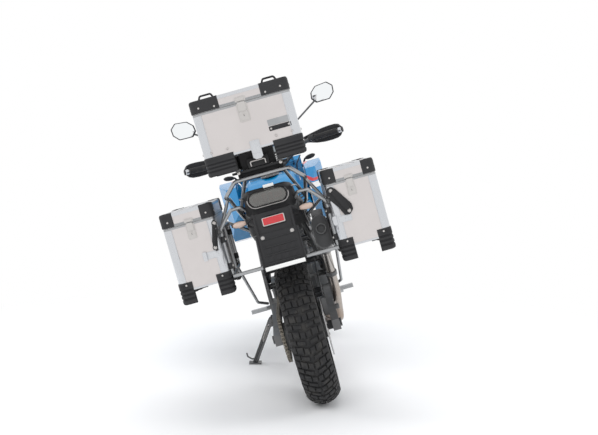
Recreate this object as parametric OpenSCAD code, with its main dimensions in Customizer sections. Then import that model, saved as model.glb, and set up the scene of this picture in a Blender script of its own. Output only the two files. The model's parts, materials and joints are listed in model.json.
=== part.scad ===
// Adventure motorcycle with aluminium luggage, parked on its side stand.
// The bike is drawn upright: X to its right, Y forward, Z up, and zero on the ground
// below the rear axle. park() then leans it onto the stand and centres it.

/* [Stance] */
// Lean towards the side stand, in degrees
lean = 15.5; // [14:0.5:17]
// Distance between the axles
wheelbase = 1520; // [1510:5:1540]
// Steering axis, back from vertical, in degrees
rake = 26; // [25.5:0.5:26.5]
// Ground distance from the steering axis to the front axle
trail = 105; // [102:1:108]

/* [Wheels] */
// Outer radius of the rear tyre
rear_r = 321; // [318:1:323]
// Width of the rear tyre
rear_w = 150; // [140:2:152]
// Radius of the rear rim under the tyre
rear_rim_r = 216; // [214:1:218]
// Outer radius of the front tyre
front_r = 329; // [325:1:331]
// Width of the front tyre
front_w = 110; // [100:2:112]
// Radius of the front rim under the tyre
front_rim_r = 241; // [239:1:243]
// Number of spokes in each wheel
spoke_count = 5; // [4:1:7]
// Diameter of the rear axle
rear_axle_d = 24; // [20:1:26]
// Diameter of the front axle
front_axle_d = 20; // [18:1:22]

/* [Luggage] */
// Width of the top box
top_box_w = 394; // [380:2:400]
// Length of the top box
top_box_l = 390; // [380:2:400]
// Height of the top box under its lid
top_box_h = 191; // [185:2:195]
// Height of the top box lid
top_lid_h = 49; // [44:1:52]
// Width of a side case
pannier_w = 213; // [200:1:216]
// Length of a side case
pannier_l = 440; // [420:5:445]
// Height of a side case under its lid
pannier_h = 266; // [256:2:270]
// Height of a side case lid
pannier_lid_h = 56; // [50:1:60]
// Thickness of the aluminium walls
wall = 2; // [1.5:0.5:3]
// Radius of the upright corners of the cases
case_corner_r = 20; // [14:1:24]
// Diameter of the luggage rack tubes
rack_d = 16; // [14:1:18]

/* [Controls] */
// Diameter of the handlebar tube
bar_d = 22; // [20:1:25]
// Distance of a hand guard's tip from the middle
guard_reach = 452; // [440:2:460]
// Distance of a mirror's middle from the middle of the bike
mirror_x = 395; // [385:1:400]
// Distance from the middle to the foot of the side stand
stand_foot_x = 331; // [320:1:340]

/* [Fits] */
// Gap between fitted faces
fit = 0.4; // [0.3:0.1:0.6]
// Radial play of a pin in its bore
pin_play = 0.5; // [0.4:0.1:0.8]

/* [Hidden] */
$fn = 64;

// Tyre crowns: the radius across the tread, on which the leaning bike stands
rear_crown_r = 86;
front_crown_r = 60;
rear_seat_w = 104;
front_seat_w = 70;
// Heights at which both leaning tyres just reach the ground
rear_axle_z = rear_r - rear_crown_r + rear_crown_r / cos(lean);
front_axle_z = front_r - front_crown_r + front_crown_r / cos(lean);

// Steering: distances along its axis, up from the ground
steer_foot_y = wheelbase + trail;
fork_x = 105;
fork_y = 32;
fork_tube_d = 44;
fork_leg_d = 54;
clamp_h = 34;
lower_clamp_t = 800;
upper_clamp_t = 1040;
head_d = 66;
stem_d = 30;
bar_t = 1145;
axle_t = front_axle_z * cos(rake) + trail * sin(rake);
axle_u = front_axle_z * sin(rake) - trail * cos(rake);

// Drive chain and swingarm
chain_x = -104;
chain_w = 14;
chain_h = 14;
sprocket_r = 98;
front_sprocket = [650, 397];
front_sprocket_r = 38;
pivot = [565, 390];
arm_x = 113;
arm_w = 34;
hub_half = 70;

// Cases
top_box_base = [0, -320, 1140];
pannier_x = 232;
pannier_back = -250;
pannier_base_z = 660;
seam = 1;
hinge_pin_d = 6;
hinge_d = 14;
hinge_gap = 9;

// Side stand: pivot, and the way its leg leans out and forward
stand_pivot = [-180, 600, 312];
stand_foot = [-stand_foot_x, 700, stand_foot_x * tan(lean)];
stand_leg = stand_foot - stand_pivot;
stand_length = norm(stand_leg);
stand_rake = asin(stand_leg[1] / stand_length);
stand_splay = atan2(-stand_leg[0], -stand_leg[2]);
stand_bolt_d = 14;

// Middle of the parked bike's overall box, on the ground
mirror_tip_x = mirror_x + 68;
mirror_tip_z = 1400;
left_reach = -mirror_tip_x * cos(lean) - mirror_tip_z * sin(lean);
right_reach = (pannier_x + pannier_w) * cos(lean) - pannier_base_z * sin(lean);
middle_x = (left_reach + right_reach) / 2;
rear_reach = -357;
middle_y = (wheelbase + front_r + rear_reach) / 2;

// Pieces ahead of the tank follow the wheelbase
stretch = wheelbase - 1520;
function fore(y) = y > 1056 ? y + stretch : y;
function fore_side(points) = [for (p = points) [fore(p[0]), p[1]]];
function fore_plan(points) = [for (p = points) [p[0], fore(p[1])]];

module ahead() {
    translate([0, stretch, 0]) children();
}

module park() {
    translate([-middle_x, -middle_y, 0]) rotate([0, -lean, 0]) children();
}

module both_sides() {
    children();
    mirror([1, 0, 0]) children();
}

// Places something drawn along the steering axis, with zero where the axis meets the ground
module on_steering() {
    translate([0, steer_foot_y, 0]) rotate([rake, 0, 0]) children();
}

function steering_point(x, u, t) =
    [x, steer_foot_y + u * cos(rake) - t * sin(rake), u * sin(rake) + t * cos(rake)];

// A round bar between two points
module bar(a, b, d) {
    v = b - a;
    translate(a) rotate([0, acos(v[2] / norm(v)), atan2(v[1], v[0])]) cylinder(d = d, h = norm(v));
}

// A bent tube through points, with each bend filled by a ball a little wider than the tube
module tube(points, d) {
    for (i = [1 : len(points) - 1]) bar(points[i - 1], points[i], d);
    for (i = [1 : 1 : len(points) - 2]) translate(points[i]) sphere(d = d * 1.04);
}

// A solid with the given outline seen from the side, between x = from and x = to
module side_plate(outline, from, to) {
    translate([from, 0, 0]) rotate([90, 0, 90]) linear_extrude(to - from) polygon(outline);
}

// A solid with the given outline seen from above, half widths by length, mirrored about the middle
module plan_block(half_widths, low, high) {
    outline = concat(half_widths, [for (i = [len(half_widths) - 1 : -1 : 0])
        [-half_widths[i][0], half_widths[i][1]]]);
    translate([0, 0, low]) linear_extrude(high - low) polygon(outline);
}

// A rectangle with rounded corners, its middle at zero
module rounded_rectangle(w, l, r) {
    polygon([for (corner = [[1, 1, 0], [-1, 1, 90], [-1, -1, 180], [1, -1, 270]])
        for (turn = [0 : 15 : 90])
            [corner[0] * (w / 2 - r) + r * cos(corner[2] + turn),
             corner[1] * (l / 2 - r) + r * sin(corner[2] + turn)]]);
}

// A rectangle closed by two half circles, its middle at zero
module stadium(w, h) {
    r = min(w, h) / 2;
    long = max(w, h) - 2 * r;
    turn = w > h ? 0 : 90;
    rotate(turn) polygon([for (end = [[1, -90], [-1, 90]])
        for (step = [0 : 15 : 180])
            [end[0] * long / 2 + r * cos(end[1] + step), r * sin(end[1] + step)]]);
}

// ---- Wheels ----

module tyre(outer_r, width, crown_r, rim_r, seat_w) {
    bead = 14;
    bulge = 46;
    rotate([0, 90, 0]) rotate_extrude() intersection() {
        translate([outer_r - crown_r, 0]) circle(r = crown_r);
        polygon([[rim_r, -seat_w / 2], [rim_r + bead, -seat_w / 2], [rim_r + bulge, -width / 2],
            [outer_r + 1, -width / 2], [outer_r + 1, width / 2], [rim_r + bulge, width / 2],
            [rim_r + bead, seat_w / 2], [rim_r, seat_w / 2]]);
    }
}

module rim(rim_r, seat_w) {
    lip = 12;
    lip_w = 6;
    half = seat_w / 2 + lip_w;
    rotate([0, 90, 0]) rotate_extrude()
        polygon([[rim_r - 16, -half], [rim_r + lip, -half], [rim_r + lip, -seat_w / 2],
            [rim_r, -seat_w / 2], [rim_r, seat_w / 2], [rim_r + lip, seat_w / 2],
            [rim_r + lip, half], [rim_r - 16, half], [rim_r - 30, 12], [rim_r - 30, -12]]);
}

module spokes(rim_r, width, thickness) {
    root = 30;
    for (i = [0 : spoke_count - 1]) rotate([360 / spoke_count * i, 0, 0])
        translate([-thickness / 2, -width / 2, root])
            cube([thickness, width, rim_r - 20 - root]);
}

module rear_wheel() {
    color("dimgray") translate([0, 0, rear_axle_z]) difference() {
        union() {
            rim(rear_rim_r, rear_seat_w);
            spokes(rear_rim_r, 40, 30);
            translate([-hub_half, 0, 0]) rotate([0, 90, 0]) cylinder(r = 46, h = 2 * hub_half);
            translate([chain_x + 4, 0, 0]) rotate([0, 90, 0])
                cylinder(r = 62, h = -chain_x - 4 - hub_half);
            translate([hub_half, 0, 0]) rotate([0, 90, 0]) cylinder(r = 50, h = 14);
        }
        translate([-200, 0, 0]) rotate([0, 90, 0])
            cylinder(d = rear_axle_d + 2 * pin_play, h = 400);
    }
}

module rear_tyre() {
    color("black") translate([0, 0, rear_axle_z])
        tyre(rear_r, rear_w, rear_crown_r, rear_rim_r, rear_seat_w);
}

module brake_disc(r, inner_r, from, thickness) {
    translate([from, 0, 0]) rotate([0, 90, 0]) difference() {
        cylinder(r = r, h = thickness);
        translate([0, 0, -1]) cylinder(r = inner_r, h = thickness + 2);
    }
}

module rear_disc() {
    color("silver") translate([0, 0, rear_axle_z]) brake_disc(130, 30, hub_half + 14, 5);
}

module rear_sprocket() {
    color("gray") translate([0, 0, rear_axle_z]) brake_disc(sprocket_r, 30, chain_x - 4, 8);
}

module front_wheel() {
    color("dimgray") translate([0, wheelbase, front_axle_z]) difference() {
        union() {
            rim(front_rim_r, front_seat_w);
            spokes(front_rim_r, 34, 26);
            translate([-64, 0, 0]) rotate([0, 90, 0]) cylinder(r = 34, h = 128);
            translate([-50, 0, 0]) rotate([0, 90, 0]) cylinder(r = 44, h = 100);
        }
        translate([-200, 0, 0]) rotate([0, 90, 0])
            cylinder(d = front_axle_d + 2 * pin_play, h = 400);
    }
}

module front_tyre() {
    color("black") translate([0, wheelbase, front_axle_z])
        tyre(front_r, front_w, front_crown_r, front_rim_r, front_seat_w);
}

module front_discs() {
    color("silver") translate([0, wheelbase, front_axle_z]) {
        brake_disc(155, 26, 64, 5);
        brake_disc(155, 26, -69, 5);
    }
}

// ---- Frame ----

// Tubes of one side: the points of each tube, and its diameter in the last column
frame_tubes = [
    [[[22, fore(1215), 862], [108, 1030, 815], [132, 650, 700], [142, 600, 545]], 40],
    [[[22, fore(1246), 790], [106, 1085, 692], [130, 800, 600], [146, 612, 500]], 32],
    [[[108, 1030, 815], [112, 1000, 668]], 22],
    [[[118, 860, 766], [128, 800, 600]], 22],
    [[[132, 650, 700], [108, 330, 752], [98, -190, 892]], 26],
    [[[150, 590, 545], [104, 120, 808]], 24]];

module frame_side(grow) {
    for (row = frame_tubes) tube(row[0], row[1] + 2 * grow);
}

// Cross bars of the frame: y, z, half width, diameter
cross_bars = [
    [632, 664, 130, 28],
    [607, 550, 148, 28],
    [200, 778, 106, 20],
    [-150, 881, 99, 20]];

module frame_cross_bars(grow) {
    for (row = cross_bars)
        bar([-row[2], row[0], row[1]], [row[2], row[0], row[1]], row[3] + 2 * grow);
}

pivot_plate = [[520, 340], [600, 330], [640, 420], [628, 556], [585, 572], [530, 440]];
plate_x = arm_x + arm_w + 0.5;
plate_w = 16;

module frame() {
    color("dimgray") difference() {
        union() {
            both_sides() frame_side(0);
            both_sides() side_plate(pivot_plate, plate_x, plate_x + plate_w);
            on_steering() translate([0, 0, lower_clamp_t + clamp_h + 3])
                cylinder(d = head_d, h = upper_clamp_t - lower_clamp_t - clamp_h - 6);
            frame_cross_bars(0);
            bar([-plate_x - 1, pivot[0], pivot[1]], [plate_x + 1, pivot[0], pivot[1]], 20);
            ahead() bar([0, 1222, 872], [0, 1340, 900], 26);
            ahead() translate([-30, 1180, 800]) cube([60, 60, 40]);
            // Lug and bolt that carry the side stand
            at_stand_pivot() {
                translate([3, 0, 0]) rotate([0, 90, 0]) cylinder(d = 42, h = 12);
                translate([3, -15, 0]) cube([12, 30, 42]);
                translate([-14, 0, 0]) rotate([0, 90, 0]) cylinder(d = stand_bolt_d, h = 20);
            }
        }
        on_steering() translate([0, 0, lower_clamp_t])
            cylinder(d = stem_d + 2 * pin_play, h = upper_clamp_t - lower_clamp_t + 60);
    }
}

// ---- Engine ----

module engine() {
    lug_z = 470;
    color("gray") difference() {
        union() {
            side_plate([[612, 300], [660, 262], [980, 262], [1030, 320], [1030, 470], [960, 530],
                [612, 530]], -90, 90);
            translate([0, 870, 500]) rotate([-18, 0, 0]) translate([-86, -95, 0])
                cube([172, 190, 238]);
            translate([-150, 905, 390]) rotate([0, 90, 0]) cylinder(r = 92, h = 60);
            translate([90, 800, 400]) rotate([0, 90, 0]) cylinder(r = 106, h = 62);
            translate([90, 935, 420]) rotate([0, 90, 0]) cylinder(r = 80, h = 46);
            bar([-plate_x, 620, lug_z], [plate_x, 620, lug_z], 30);
            bar([-122, 1000, 560], [122, 1000, 560], 24);
            // Sprocket cover, open behind for the chain
            difference() {
                translate([-128, 612, 312]) cube([38, 112, 156]);
                translate([chain_x - chain_w / 2 - 3, 600, 322]) cube([chain_w + 6, 110, 136]);
            }
            bar([-108, front_sprocket[0], front_sprocket[1]],
                [-88, front_sprocket[0], front_sprocket[1]], 28);
            translate([chain_x - 4, front_sprocket[0], front_sprocket[1]]) rotate([0, 90, 0])
                cylinder(r = front_sprocket_r, h = 8);
        }
        both_sides() frame_side(fit);
    }
}

module radiator() {
    color("dimgray") difference() {
        union() {
            translate([-160, 1125, 500]) cube([320, 34, 190]);
            both_sides() translate([70, 1105, 680]) cube([16, 40, 50]);
        }
        both_sides() frame_side(fit);
    }
}

module skid_plate() {
    color("silver") union() {
        side_plate([[640, 184], [1030, 184], [1118, 290], [1118, 360], [1113, 360], [1113, 292],
            [1028, 189], [640, 189]], -115, 115);
        for (post = [[-70, 680], [-70, 930], [0, 680], [0, 900]])
            translate([post[0], post[1], 186]) cylinder(d = 16, h = 76);
    }
}

// Paths of the exhaust pipes, from the cylinders down, under the engine and up to the silencer
left_pipe = [[-45, 1035, 590], [-58, 1084, 520], [-58, 1080, 300], [0, 1000, 222], [60, 920, 222]];
right_pipe = [[45, 1035, 590], [58, 1084, 520], [58, 1078, 304], [68, 1000, 224],
    [122, 720, 222], [158, 480, 250], [174, 384, 400], [175, 290, 656]];
pipe_d = 42;

module exhaust_header() {
    color("tan") difference() {
        tube(left_pipe, pipe_d);
        tube(right_pipe, pipe_d + 2 * fit);
        engine_front();
    }
    color("tan") difference() {
        tube(right_pipe, pipe_d);
        engine_front();
    }
}

// The space of the slanted cylinder block, which the pipes meet
module engine_front() {
    translate([0, 870, 500]) rotate([-18, 0, 0]) translate([-86, -95, 0]) cube([172, 190, 238]);
}

silencer_x = 175;
silencer_w = 74;
silencer_tall = 150;
silencer_rear = [-118, 738];
silencer_front = [300, 664];

module silencer() {
    run = [silencer_front[0] - silencer_rear[0], silencer_front[1] - silencer_rear[1]];
    tilt = atan2(run[1], run[0]);
    color("black") difference() {
        translate([silencer_x, silencer_rear[0], silencer_rear[1]]) rotate([tilt, 0, 0]) {
            rotate([-90, 0, 0]) linear_extrude(norm(run)) stadium(silencer_w, silencer_tall);
            translate([0, -16, 12]) rotate([-90, 0, 0]) cylinder(d = 44, h = 20);
            translate([-26, 20, silencer_tall / 2 - 6]) cube([52, 60, 30]);
        }
        tube(right_pipe, pipe_d + 2 * fit);
    }
}

// ---- Bodywork ----

tank_side = [[706, 752], [706, 846], [735, 880], [800, 960], [880, 1008], [960, 1016], [1050, 1000],
    [1056, 960], [1056, 830], [1000, 815]];
tank_plan = [[92, 706], [150, 770], [190, 860], [190, 1056]];

module tank_shape() {
    intersection() {
        side_plate(tank_side, -190, 190);
        plan_block(tank_plan, 700, 1100);
        translate([0, 1100, 0]) rotate([90, 0, 0]) linear_extrude(500)
            polygon([[-190, 700], [-190, 930], [-125, 1016], [125, 1016], [190, 930], [190, 700]]);
    }
}

module fuel_tank() {
    color("deepskyblue") difference() {
        union() {
            tank_shape();
            translate([0, 905, 1000]) cylinder(d = 96, h = 24);
        }
        both_sides() frame_side(fit);
        translate([-100, 600, 700]) cube([200, 470, 100]);
        translate([-136, 850, 700]) cube([272, 260, 120]);
    }
}

fairing_side = [[760, 880], [830, 1000], [1000, 1036], [1180, 1010], [1290, 1000], [1300, 900],
    [1180, 780], [1060, 700], [960, 715], [830, 820]];

module side_fairings() {
    color("deepskyblue") both_sides() intersection() {
        side_plate(fore_side(fairing_side), 190, 300);
        translate([0, 0, 680]) linear_extrude(400)
            polygon(fore_plan([[190 + fit, 760], [246, 830], [284, 930], [284, 1050], [250, 1180],
                [204, 1300], [190 + fit, 1300]]));
    }
}

nose_side = [[1340, 850], [1336, 1000], [1292, 1060], [1310, 1082], [1400, 1040], [1470, 960],
    [1640, 842], [1640, 832], [1480, 832], [1390, 838]];
nose_plan = [[190, 1290], [190, 1340], [160, 1420], [80, 1475], [60, 1520], [34, 1640]];

module nose_shape() {
    intersection() {
        side_plate(fore_side(nose_side), -200, 200);
        plan_block(fore_plan(nose_plan), 800, 1100);
    }
}

module lamp_block() {
    ahead() translate([-105, 1385, 880]) cube([210, 200, 100]);
}

module front_fairing() {
    color("deepskyblue") difference() {
        union() {
            nose_shape();
            both_sides() side_plate(fore_side([[1286, 905], [1345, 905], [1345, 990], [1286, 990]]),
                182, 190);
        }
        lamp_block();
        ahead() bar([0, 1222, 872], [0, 1342, 900.5], 26 + 2 * fit);
    }
}

module headlight() {
    color("white") intersection() {
        nose_shape();
        lamp_block();
    }
}

module windscreen() {
    color("lightgray", 0.5) difference() {
        ahead() translate([0, 1102, 1034]) rotate([20, 0, 0]) rotate([0, 0, 52])
            rotate_extrude(angle = 76) translate([238, -70]) square([4, 372]);
        nose_shape();
    }
}

module instruments() {
    color("black") difference() {
        side_plate(fore_side([[1236, 1070], [1320, 1010], [1320, 1060], [1290, 1120], [1262, 1138]]),
            -88, 88);
        nose_shape();
    }
}

seat_side = [[-30, 868], [-30, 905], [0, 924], [290, 924], [345, 906], [372, 856], [430, 834],
    [560, 828], [660, 842], [705.5, 846], [705.5, 800], [660, 762], [340, 756], [60, 836]];
seat_plan = [[108, -30], [142, 200], [150, 340], [150, 480], [92, 705.5]];

module seat() {
    color("black") difference() {
        intersection() {
            side_plate(seat_side, -160, 160);
            plan_block(seat_plan, 700, 1000);
        }
        both_sides() frame_side(fit);
    }
}

tail_side = [[-245, 898], [-258, 912], [-258, 978], [-240, 988], [-62, 980], [-30.5, 925],
    [-30.5, 867.5], [60, 835.5], [330, 758], [330, 738], [150, 776], [-100, 848]];
tail_plan = [[90, -258], [112, -200], [128, 0], [140, 330]];

module tail_cover() {
    color("black") difference() {
        intersection() {
            side_plate(tail_side, -150, 150);
            plan_block(tail_plan, 700, 1000);
        }
        both_sides() frame_side(fit);
        frame_cross_bars(fit);
    }
}

module tail_light() {
    color("darkred") translate([0, -258, 945]) rotate([90, 0, 0]) linear_extrude(26) stadium(164, 62);
}

// Plate carrier under the tail: a bent sheet, with the reflector on its upper face
guard_top = [-300, 890];
guard_bend = [-325, 820];
guard_foot = [-352, 665];

module rear_mudguard() {
    color("black") side_plate([[-150, 863], [-240, 895.5], guard_top, guard_bend, guard_foot,
        [-344, 664], [-316, 816], [-292, 873], [-236, 882], [-150, 850]], -80, 80);
}

// Places something flat on a sloping rear face that runs from low to high, at height z
module on_rear_face(low, high, z) {
    share = (z - low[1]) / (high[1] - low[1]);
    slope = atan2(high[0] - low[0], high[1] - low[1]);
    translate([0, low[0] + share * (high[0] - low[0]), z]) rotate([-slope, 0, 0]) children();
}

plate_hole_x = 60;
plate_hole_r = 3;

module plate_holder() {
    color("black") {
        on_rear_face(guard_foot, guard_bend, 742) difference() {
            translate([-86, -4 - fit, -68]) cube([172, 4, 140]);
            for (side = [-1, 1]) translate([side * plate_hole_x, 10, 52]) rotate([90, 0, 0])
                cylinder(r = plate_hole_r, h = 30);
        }
        color("red") on_rear_face(guard_bend, guard_top, 850) translate([-46, -10 - fit, -18])
            cube([92, 10, 36]);
    }
}

// Each indicator: where its stalk starts, where its lamp starts and where it ends
rear_indicator = [[79, -262, 884], [108, -256, 866], [172, -252, 866]];
front_indicator = [[188, fore(1335), 1010], [214, fore(1290), 1052], [276, fore(1270), 1060]];

module indicators() {
    color("darkorange") both_sides() difference() {
        for (place = [rear_indicator, front_indicator]) {
            bar(place[0], place[1], 12);
            bar(place[1], place[2], 28);
        }
        nose_shape();
        side_plate([[-150, 863], [-240, 896.5], guard_top, [-292, 873], [-236, 882], [-150, 850]],
            -80, 80);
    }
}

// ---- Rear suspension and drive ----

arm_side = [[-48, rear_axle_z - 22], [-48, rear_axle_z + 24], [70, 362], [420, 414], [575, 416],
    [596, 390], [575, 362], [420, 344], [70, rear_axle_z - 32]];

// Bosses for workshop stand bobbins: place, hole radius and length
bobbin = [150, 368];
bobbin_r = 4;
bobbin_depth = 18;

module swingarm() {
    color("dimgray") difference() {
        union() {
            both_sides() side_plate(arm_side, arm_x, arm_x + arm_w);
            bar([-arm_x - 1, pivot[0], pivot[1]], [arm_x + 1, pivot[0], pivot[1]], 46);
            translate([-arm_x - 1, 415, 340]) cube([2 * arm_x + 2, 50, 62]);
            translate([-156, 0, rear_axle_z]) rotate([0, 90, 0]) cylinder(d = rear_axle_d, h = 312);
            both_sides() translate([arm_x + arm_w - 1, 0, rear_axle_z]) rotate([0, 90, 0])
                cylinder(d = 38, h = 10, $fn = 6);
            translate([91, 0, rear_axle_z]) rotate([0, 90, 0]) cylinder(d = 40, h = 24);
            translate([-115, 0, rear_axle_z]) rotate([0, 90, 0]) cylinder(d = 40, h = 5);
        }
        bar([-200, pivot[0], pivot[1]], [200, pivot[0], pivot[1]], 20 + 2 * fit);
    }
}

// Threaded bosses on the swingarm, for the bobbins of a workshop stand
module stand_bosses() {
    color("dimgray") both_sides() translate([arm_x + arm_w, bobbin[0], bobbin[1]])
        rotate([0, 90, 0]) difference() {
            cylinder(d = 24, h = bobbin_depth);
            translate([0, 0, -1]) cylinder(r = bobbin_r, h = bobbin_depth + 2);
        }
}

module shock_absorber() {
    low = [0, 446, 424];
    high = [0, 612, 640];
    along = high - low;
    color("gold") difference() {
        union() {
            bar(low, high, 26);
            bar(low + 0.16 * along, low + 0.82 * along, 74);
            translate([-14, 430, 402]) cube([28, 32, 34]);
            bar(high - [0, 4, 6], high + [0, 12, 14], 36);
        }
        frame_cross_bars(fit);
    }
}

// One closed loop of the given inside radii round both sprockets
module chain_loop(extra) {
    hull() {
        translate([0, rear_axle_z]) circle(r = sprocket_r + 1.5 + extra);
        translate(front_sprocket) circle(r = front_sprocket_r + 0.5 + extra);
    }
}

module drive_chain() {
    color("saddlebrown") translate([chain_x - chain_w / 2, 0, 0]) rotate([90, 0, 90])
        linear_extrude(chain_w) difference() {
            chain_loop(chain_h);
            chain_loop(0);
        }
}

module rear_brake() {
    color("black") difference() {
        union() {
            translate([76, 84, 352]) cube([arm_x - 76, 76, 78]);
            tube([[106, 150, 424], [106, 300, 440], [106, 520, 480], [112, 560, 560]], 8);
        }
        // Slot for the disc
        translate([hub_half + 14 - 3, 0, rear_axle_z]) rotate([0, 90, 0]) cylinder(r = 134, h = 11);
        side_plate(arm_side, arm_x, arm_x + arm_w);
        both_sides() frame_side(fit);
        frame_cross_bars(fit);
    }
}

module foot_controls() {
    outer = plate_x + plate_w;
    color("gray") {
        // Rider pegs on the frame plates
        both_sides() {
            bar([outer, 560, 378], [outer + 22, 560, 378], 22);
            translate([outer + 20, 545, 368]) cube([80, 30, 18]);
        }
        // Gear lever and brake pedal
        tube([[-outer, 596, 372], [-outer - 24, 596, 372], [-outer - 24, 740, 345],
            [-outer - 60, 745, 345]], 12);
        tube([[outer, 596, 350], [outer + 16, 596, 350], [outer + 16, 740, 330],
            [outer + 50, 745, 330]], 12);
    }
}

// ---- Luggage ----

hoop_x = pannier_x - 0.52 * rack_d - fit / 2;
rack_rear = -222;
wing_d = 14;
wing = [[98, -188, 905], [120, rack_rear, 932], [162, rack_rear, 930], [hoop_x, rack_rear, 862]];
hoop = [[hoop_x, rack_rear, 868], [hoop_x, rack_rear, 668], [hoop_x, 160, 668], [hoop_x, 160, 868],
    [hoop_x, rack_rear, 868]];

// Two rails that carry the rack plate, with the cross tube behind
module rack_rails(grow) {
    both_sides() tube([[80, -246, 1037], [80, 90, 1053], [152, 150, 890]], rack_d + 2 * grow);
    bar([-114, -246, 1037], [114, -246, 1037], rack_d + 2 * grow);
}

module luggage_rack() {
    color("silver") difference() {
        union() {
            both_sides() {
                tube(wing, wing_d);
                tube(hoop, rack_d);
                translate(hoop[0]) sphere(d = rack_d * 1.04);
                bar([hoop_x, -30, 668], [hoop_x, -30, 868], rack_d);
                tube([[hoop_x, 60, 668], [213, 480, 430], [172, 545, 402]], 14);
                bar([hoop_x, 160, 868], [112, 172, 786], rack_d);
                // Grab rail beside the pillion seat
                tube([[113, -246, 1037], [166, -240, 984], [166, -60, 968], [152, 180, 880],
                    [124, 214, 820]], rack_d);
                bar([166, -150, 975], [hoop_x, -150, 868], rack_d);
            }
            rack_rails(0);
            bar([-hoop_x, rack_rear, 668], [hoop_x, rack_rear, 668], rack_d);
        }
        both_sides() frame_side(fit);
        tail_space();
    }
}

// Plate on the rack, with the raised adaptor that the top box locks onto
module rack_plate() {
    plate_z = 1062;
    color("black") difference() {
        union() {
            translate([-115, -232, plate_z]) cube([230, 270, 10]);
            for (y = [-200, -20]) translate([-95, y, 1044]) cube([190, 26, plate_z - 1044 + 1]);
            translate([-70, -210, plate_z + 9])
                cube([140, 220, top_box_base[2] - plate_z - 9 - fit / 2]);
        }
        rack_rails(fit);
    }
}

// Space taken by the tail cover and the seat, which the rack tubes end against
module tail_space() {
    intersection() {
        side_plate(tail_side, -150, 150);
        plan_block(tail_plan, 700, 1000);
    }
    intersection() {
        side_plate(seat_side, -160, 160);
        plan_block(seat_plan, 700, 1000);
    }
}

// An open box of sheet metal, standing on zero
module open_case(w, l, h) {
    difference() {
        linear_extrude(h) rounded_rectangle(w, l, case_corner_r);
        translate([0, 0, wall]) linear_extrude(h)
            rounded_rectangle(w - 2 * wall, l - 2 * wall, case_corner_r - wall);
    }
}

// Fixed half of a lid hinge: two end lugs with the pin between them, at the front rim
module hinge_pin(w) {
    both_sides() translate([w / 2 - 60, -hinge_gap, -11]) cube([12, hinge_gap + 4, 10]);
    both_sides() translate([w / 2 - 60, 0, 0]) rotate([0, 90, 0]) cylinder(d = 12, h = 12);
    translate([-w / 2 + 50, 0, 0]) rotate([0, 90, 0]) cylinder(d = hinge_pin_d, h = w - 100);
}

// Moving half of a lid hinge: a sleeve round the pin, on a strap up to the lid
module hinge_sleeve(w) {
    difference() {
        union() {
            both_sides() translate([w / 2 - 94, 0, 0]) rotate([0, 90, 0])
                cylinder(d = hinge_d, h = 28);
            both_sides() translate([w / 2 - 94, -hinge_gap, seam + 1])
                cube([28, hinge_gap, 13]);
        }
        translate([-w / 2, 0, 0]) rotate([0, 90, 0])
            cylinder(d = hinge_pin_d + 2 * pin_play, h = w);
    }
}

module case_body(w, l, h) {
    open_case(w, l, h);
    translate([0, l / 2 + hinge_gap, h]) hinge_pin(w);
}

module case_lid(w, l, h, lid_h) {
    translate([0, 0, h + seam]) difference() {
        linear_extrude(lid_h) rounded_rectangle(w, l, case_corner_r);
        translate([0, 0, -wall]) linear_extrude(lid_h)
            rounded_rectangle(w - 2 * wall, l - 2 * wall, case_corner_r - wall);
    }
    translate([0, l / 2 + hinge_gap, h]) hinge_sleeve(w);
}

module at_top_box() {
    translate(top_box_base + [0, top_box_l / 2, 0]) children();
}

module at_pannier(side) {
    translate([side * (pannier_x + pannier_w / 2), pannier_back + pannier_l / 2, pannier_base_z])
        children();
}

module top_box() {
    color("silver") at_top_box() case_body(top_box_w, top_box_l, top_box_h);
}

module top_box_lid() {
    color("silver") at_top_box() case_lid(top_box_w, top_box_l, top_box_h, top_lid_h);
}

module pannier_left() {
    color("silver") at_pannier(-1) case_body(pannier_w, pannier_l, pannier_h);
}

module pannier_right() {
    color("silver") at_pannier(1) case_body(pannier_w, pannier_l, pannier_h);
}

module pannier_lid_left() {
    color("silver") at_pannier(-1) case_lid(pannier_w, pannier_l, pannier_h, pannier_lid_h);
}

module pannier_lid_right() {
    color("silver") at_pannier(1) case_lid(pannier_w, pannier_l, pannier_h, pannier_lid_h);
}

// ---- Steering ----

module fork() {
    color("dimgray") {
        on_steering() both_sides() {
            translate([fork_x, fork_y, axle_t + 60]) cylinder(d = fork_tube_d, h = upper_clamp_t
                + clamp_h + 6 - axle_t - 60);
            translate([fork_x, fork_y, axle_t - 20]) cylinder(d = fork_leg_d, h = 350);
            translate([fork_x - 26, axle_u - 22, axle_t - 26]) cube([46, 56, 52]);
        }
        translate([-fork_x - 14, wheelbase, front_axle_z]) rotate([0, 90, 0])
            cylinder(d = front_axle_d, h = 2 * fork_x + 28);
    }
}

module triple_clamp() {
    difference() {
        linear_extrude(clamp_h) polygon([[-fork_x - 14, fork_y + 34], [fork_x + 14, fork_y + 34],
            [fork_x + 34, fork_y + 10], [fork_x + 34, fork_y - 20], [60, -30], [-60, -30],
            [-fork_x - 34, fork_y - 20], [-fork_x - 34, fork_y + 10]]);
        both_sides() translate([fork_x, fork_y, -1]) cylinder(d = fork_tube_d + fit,
            h = clamp_h + 2);
    }
}

module triple_clamps() {
    color("black") on_steering() {
        translate([0, 0, lower_clamp_t]) triple_clamp();
        translate([0, 0, upper_clamp_t]) triple_clamp();
        translate([0, 0, lower_clamp_t + clamp_h - 1])
            cylinder(d = stem_d, h = upper_clamp_t - lower_clamp_t - clamp_h + 2);
        both_sides() difference() {
            translate([24, -14, upper_clamp_t + clamp_h - 1])
                cube([26, 34, bar_t - upper_clamp_t - clamp_h + 18]);
            translate([0, 3, bar_t]) rotate([0, 90, 0])
                cylinder(d = bar_d + 2 * fit, h = 100);
        }
    }
}

guard_peg_t = 655;

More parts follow.
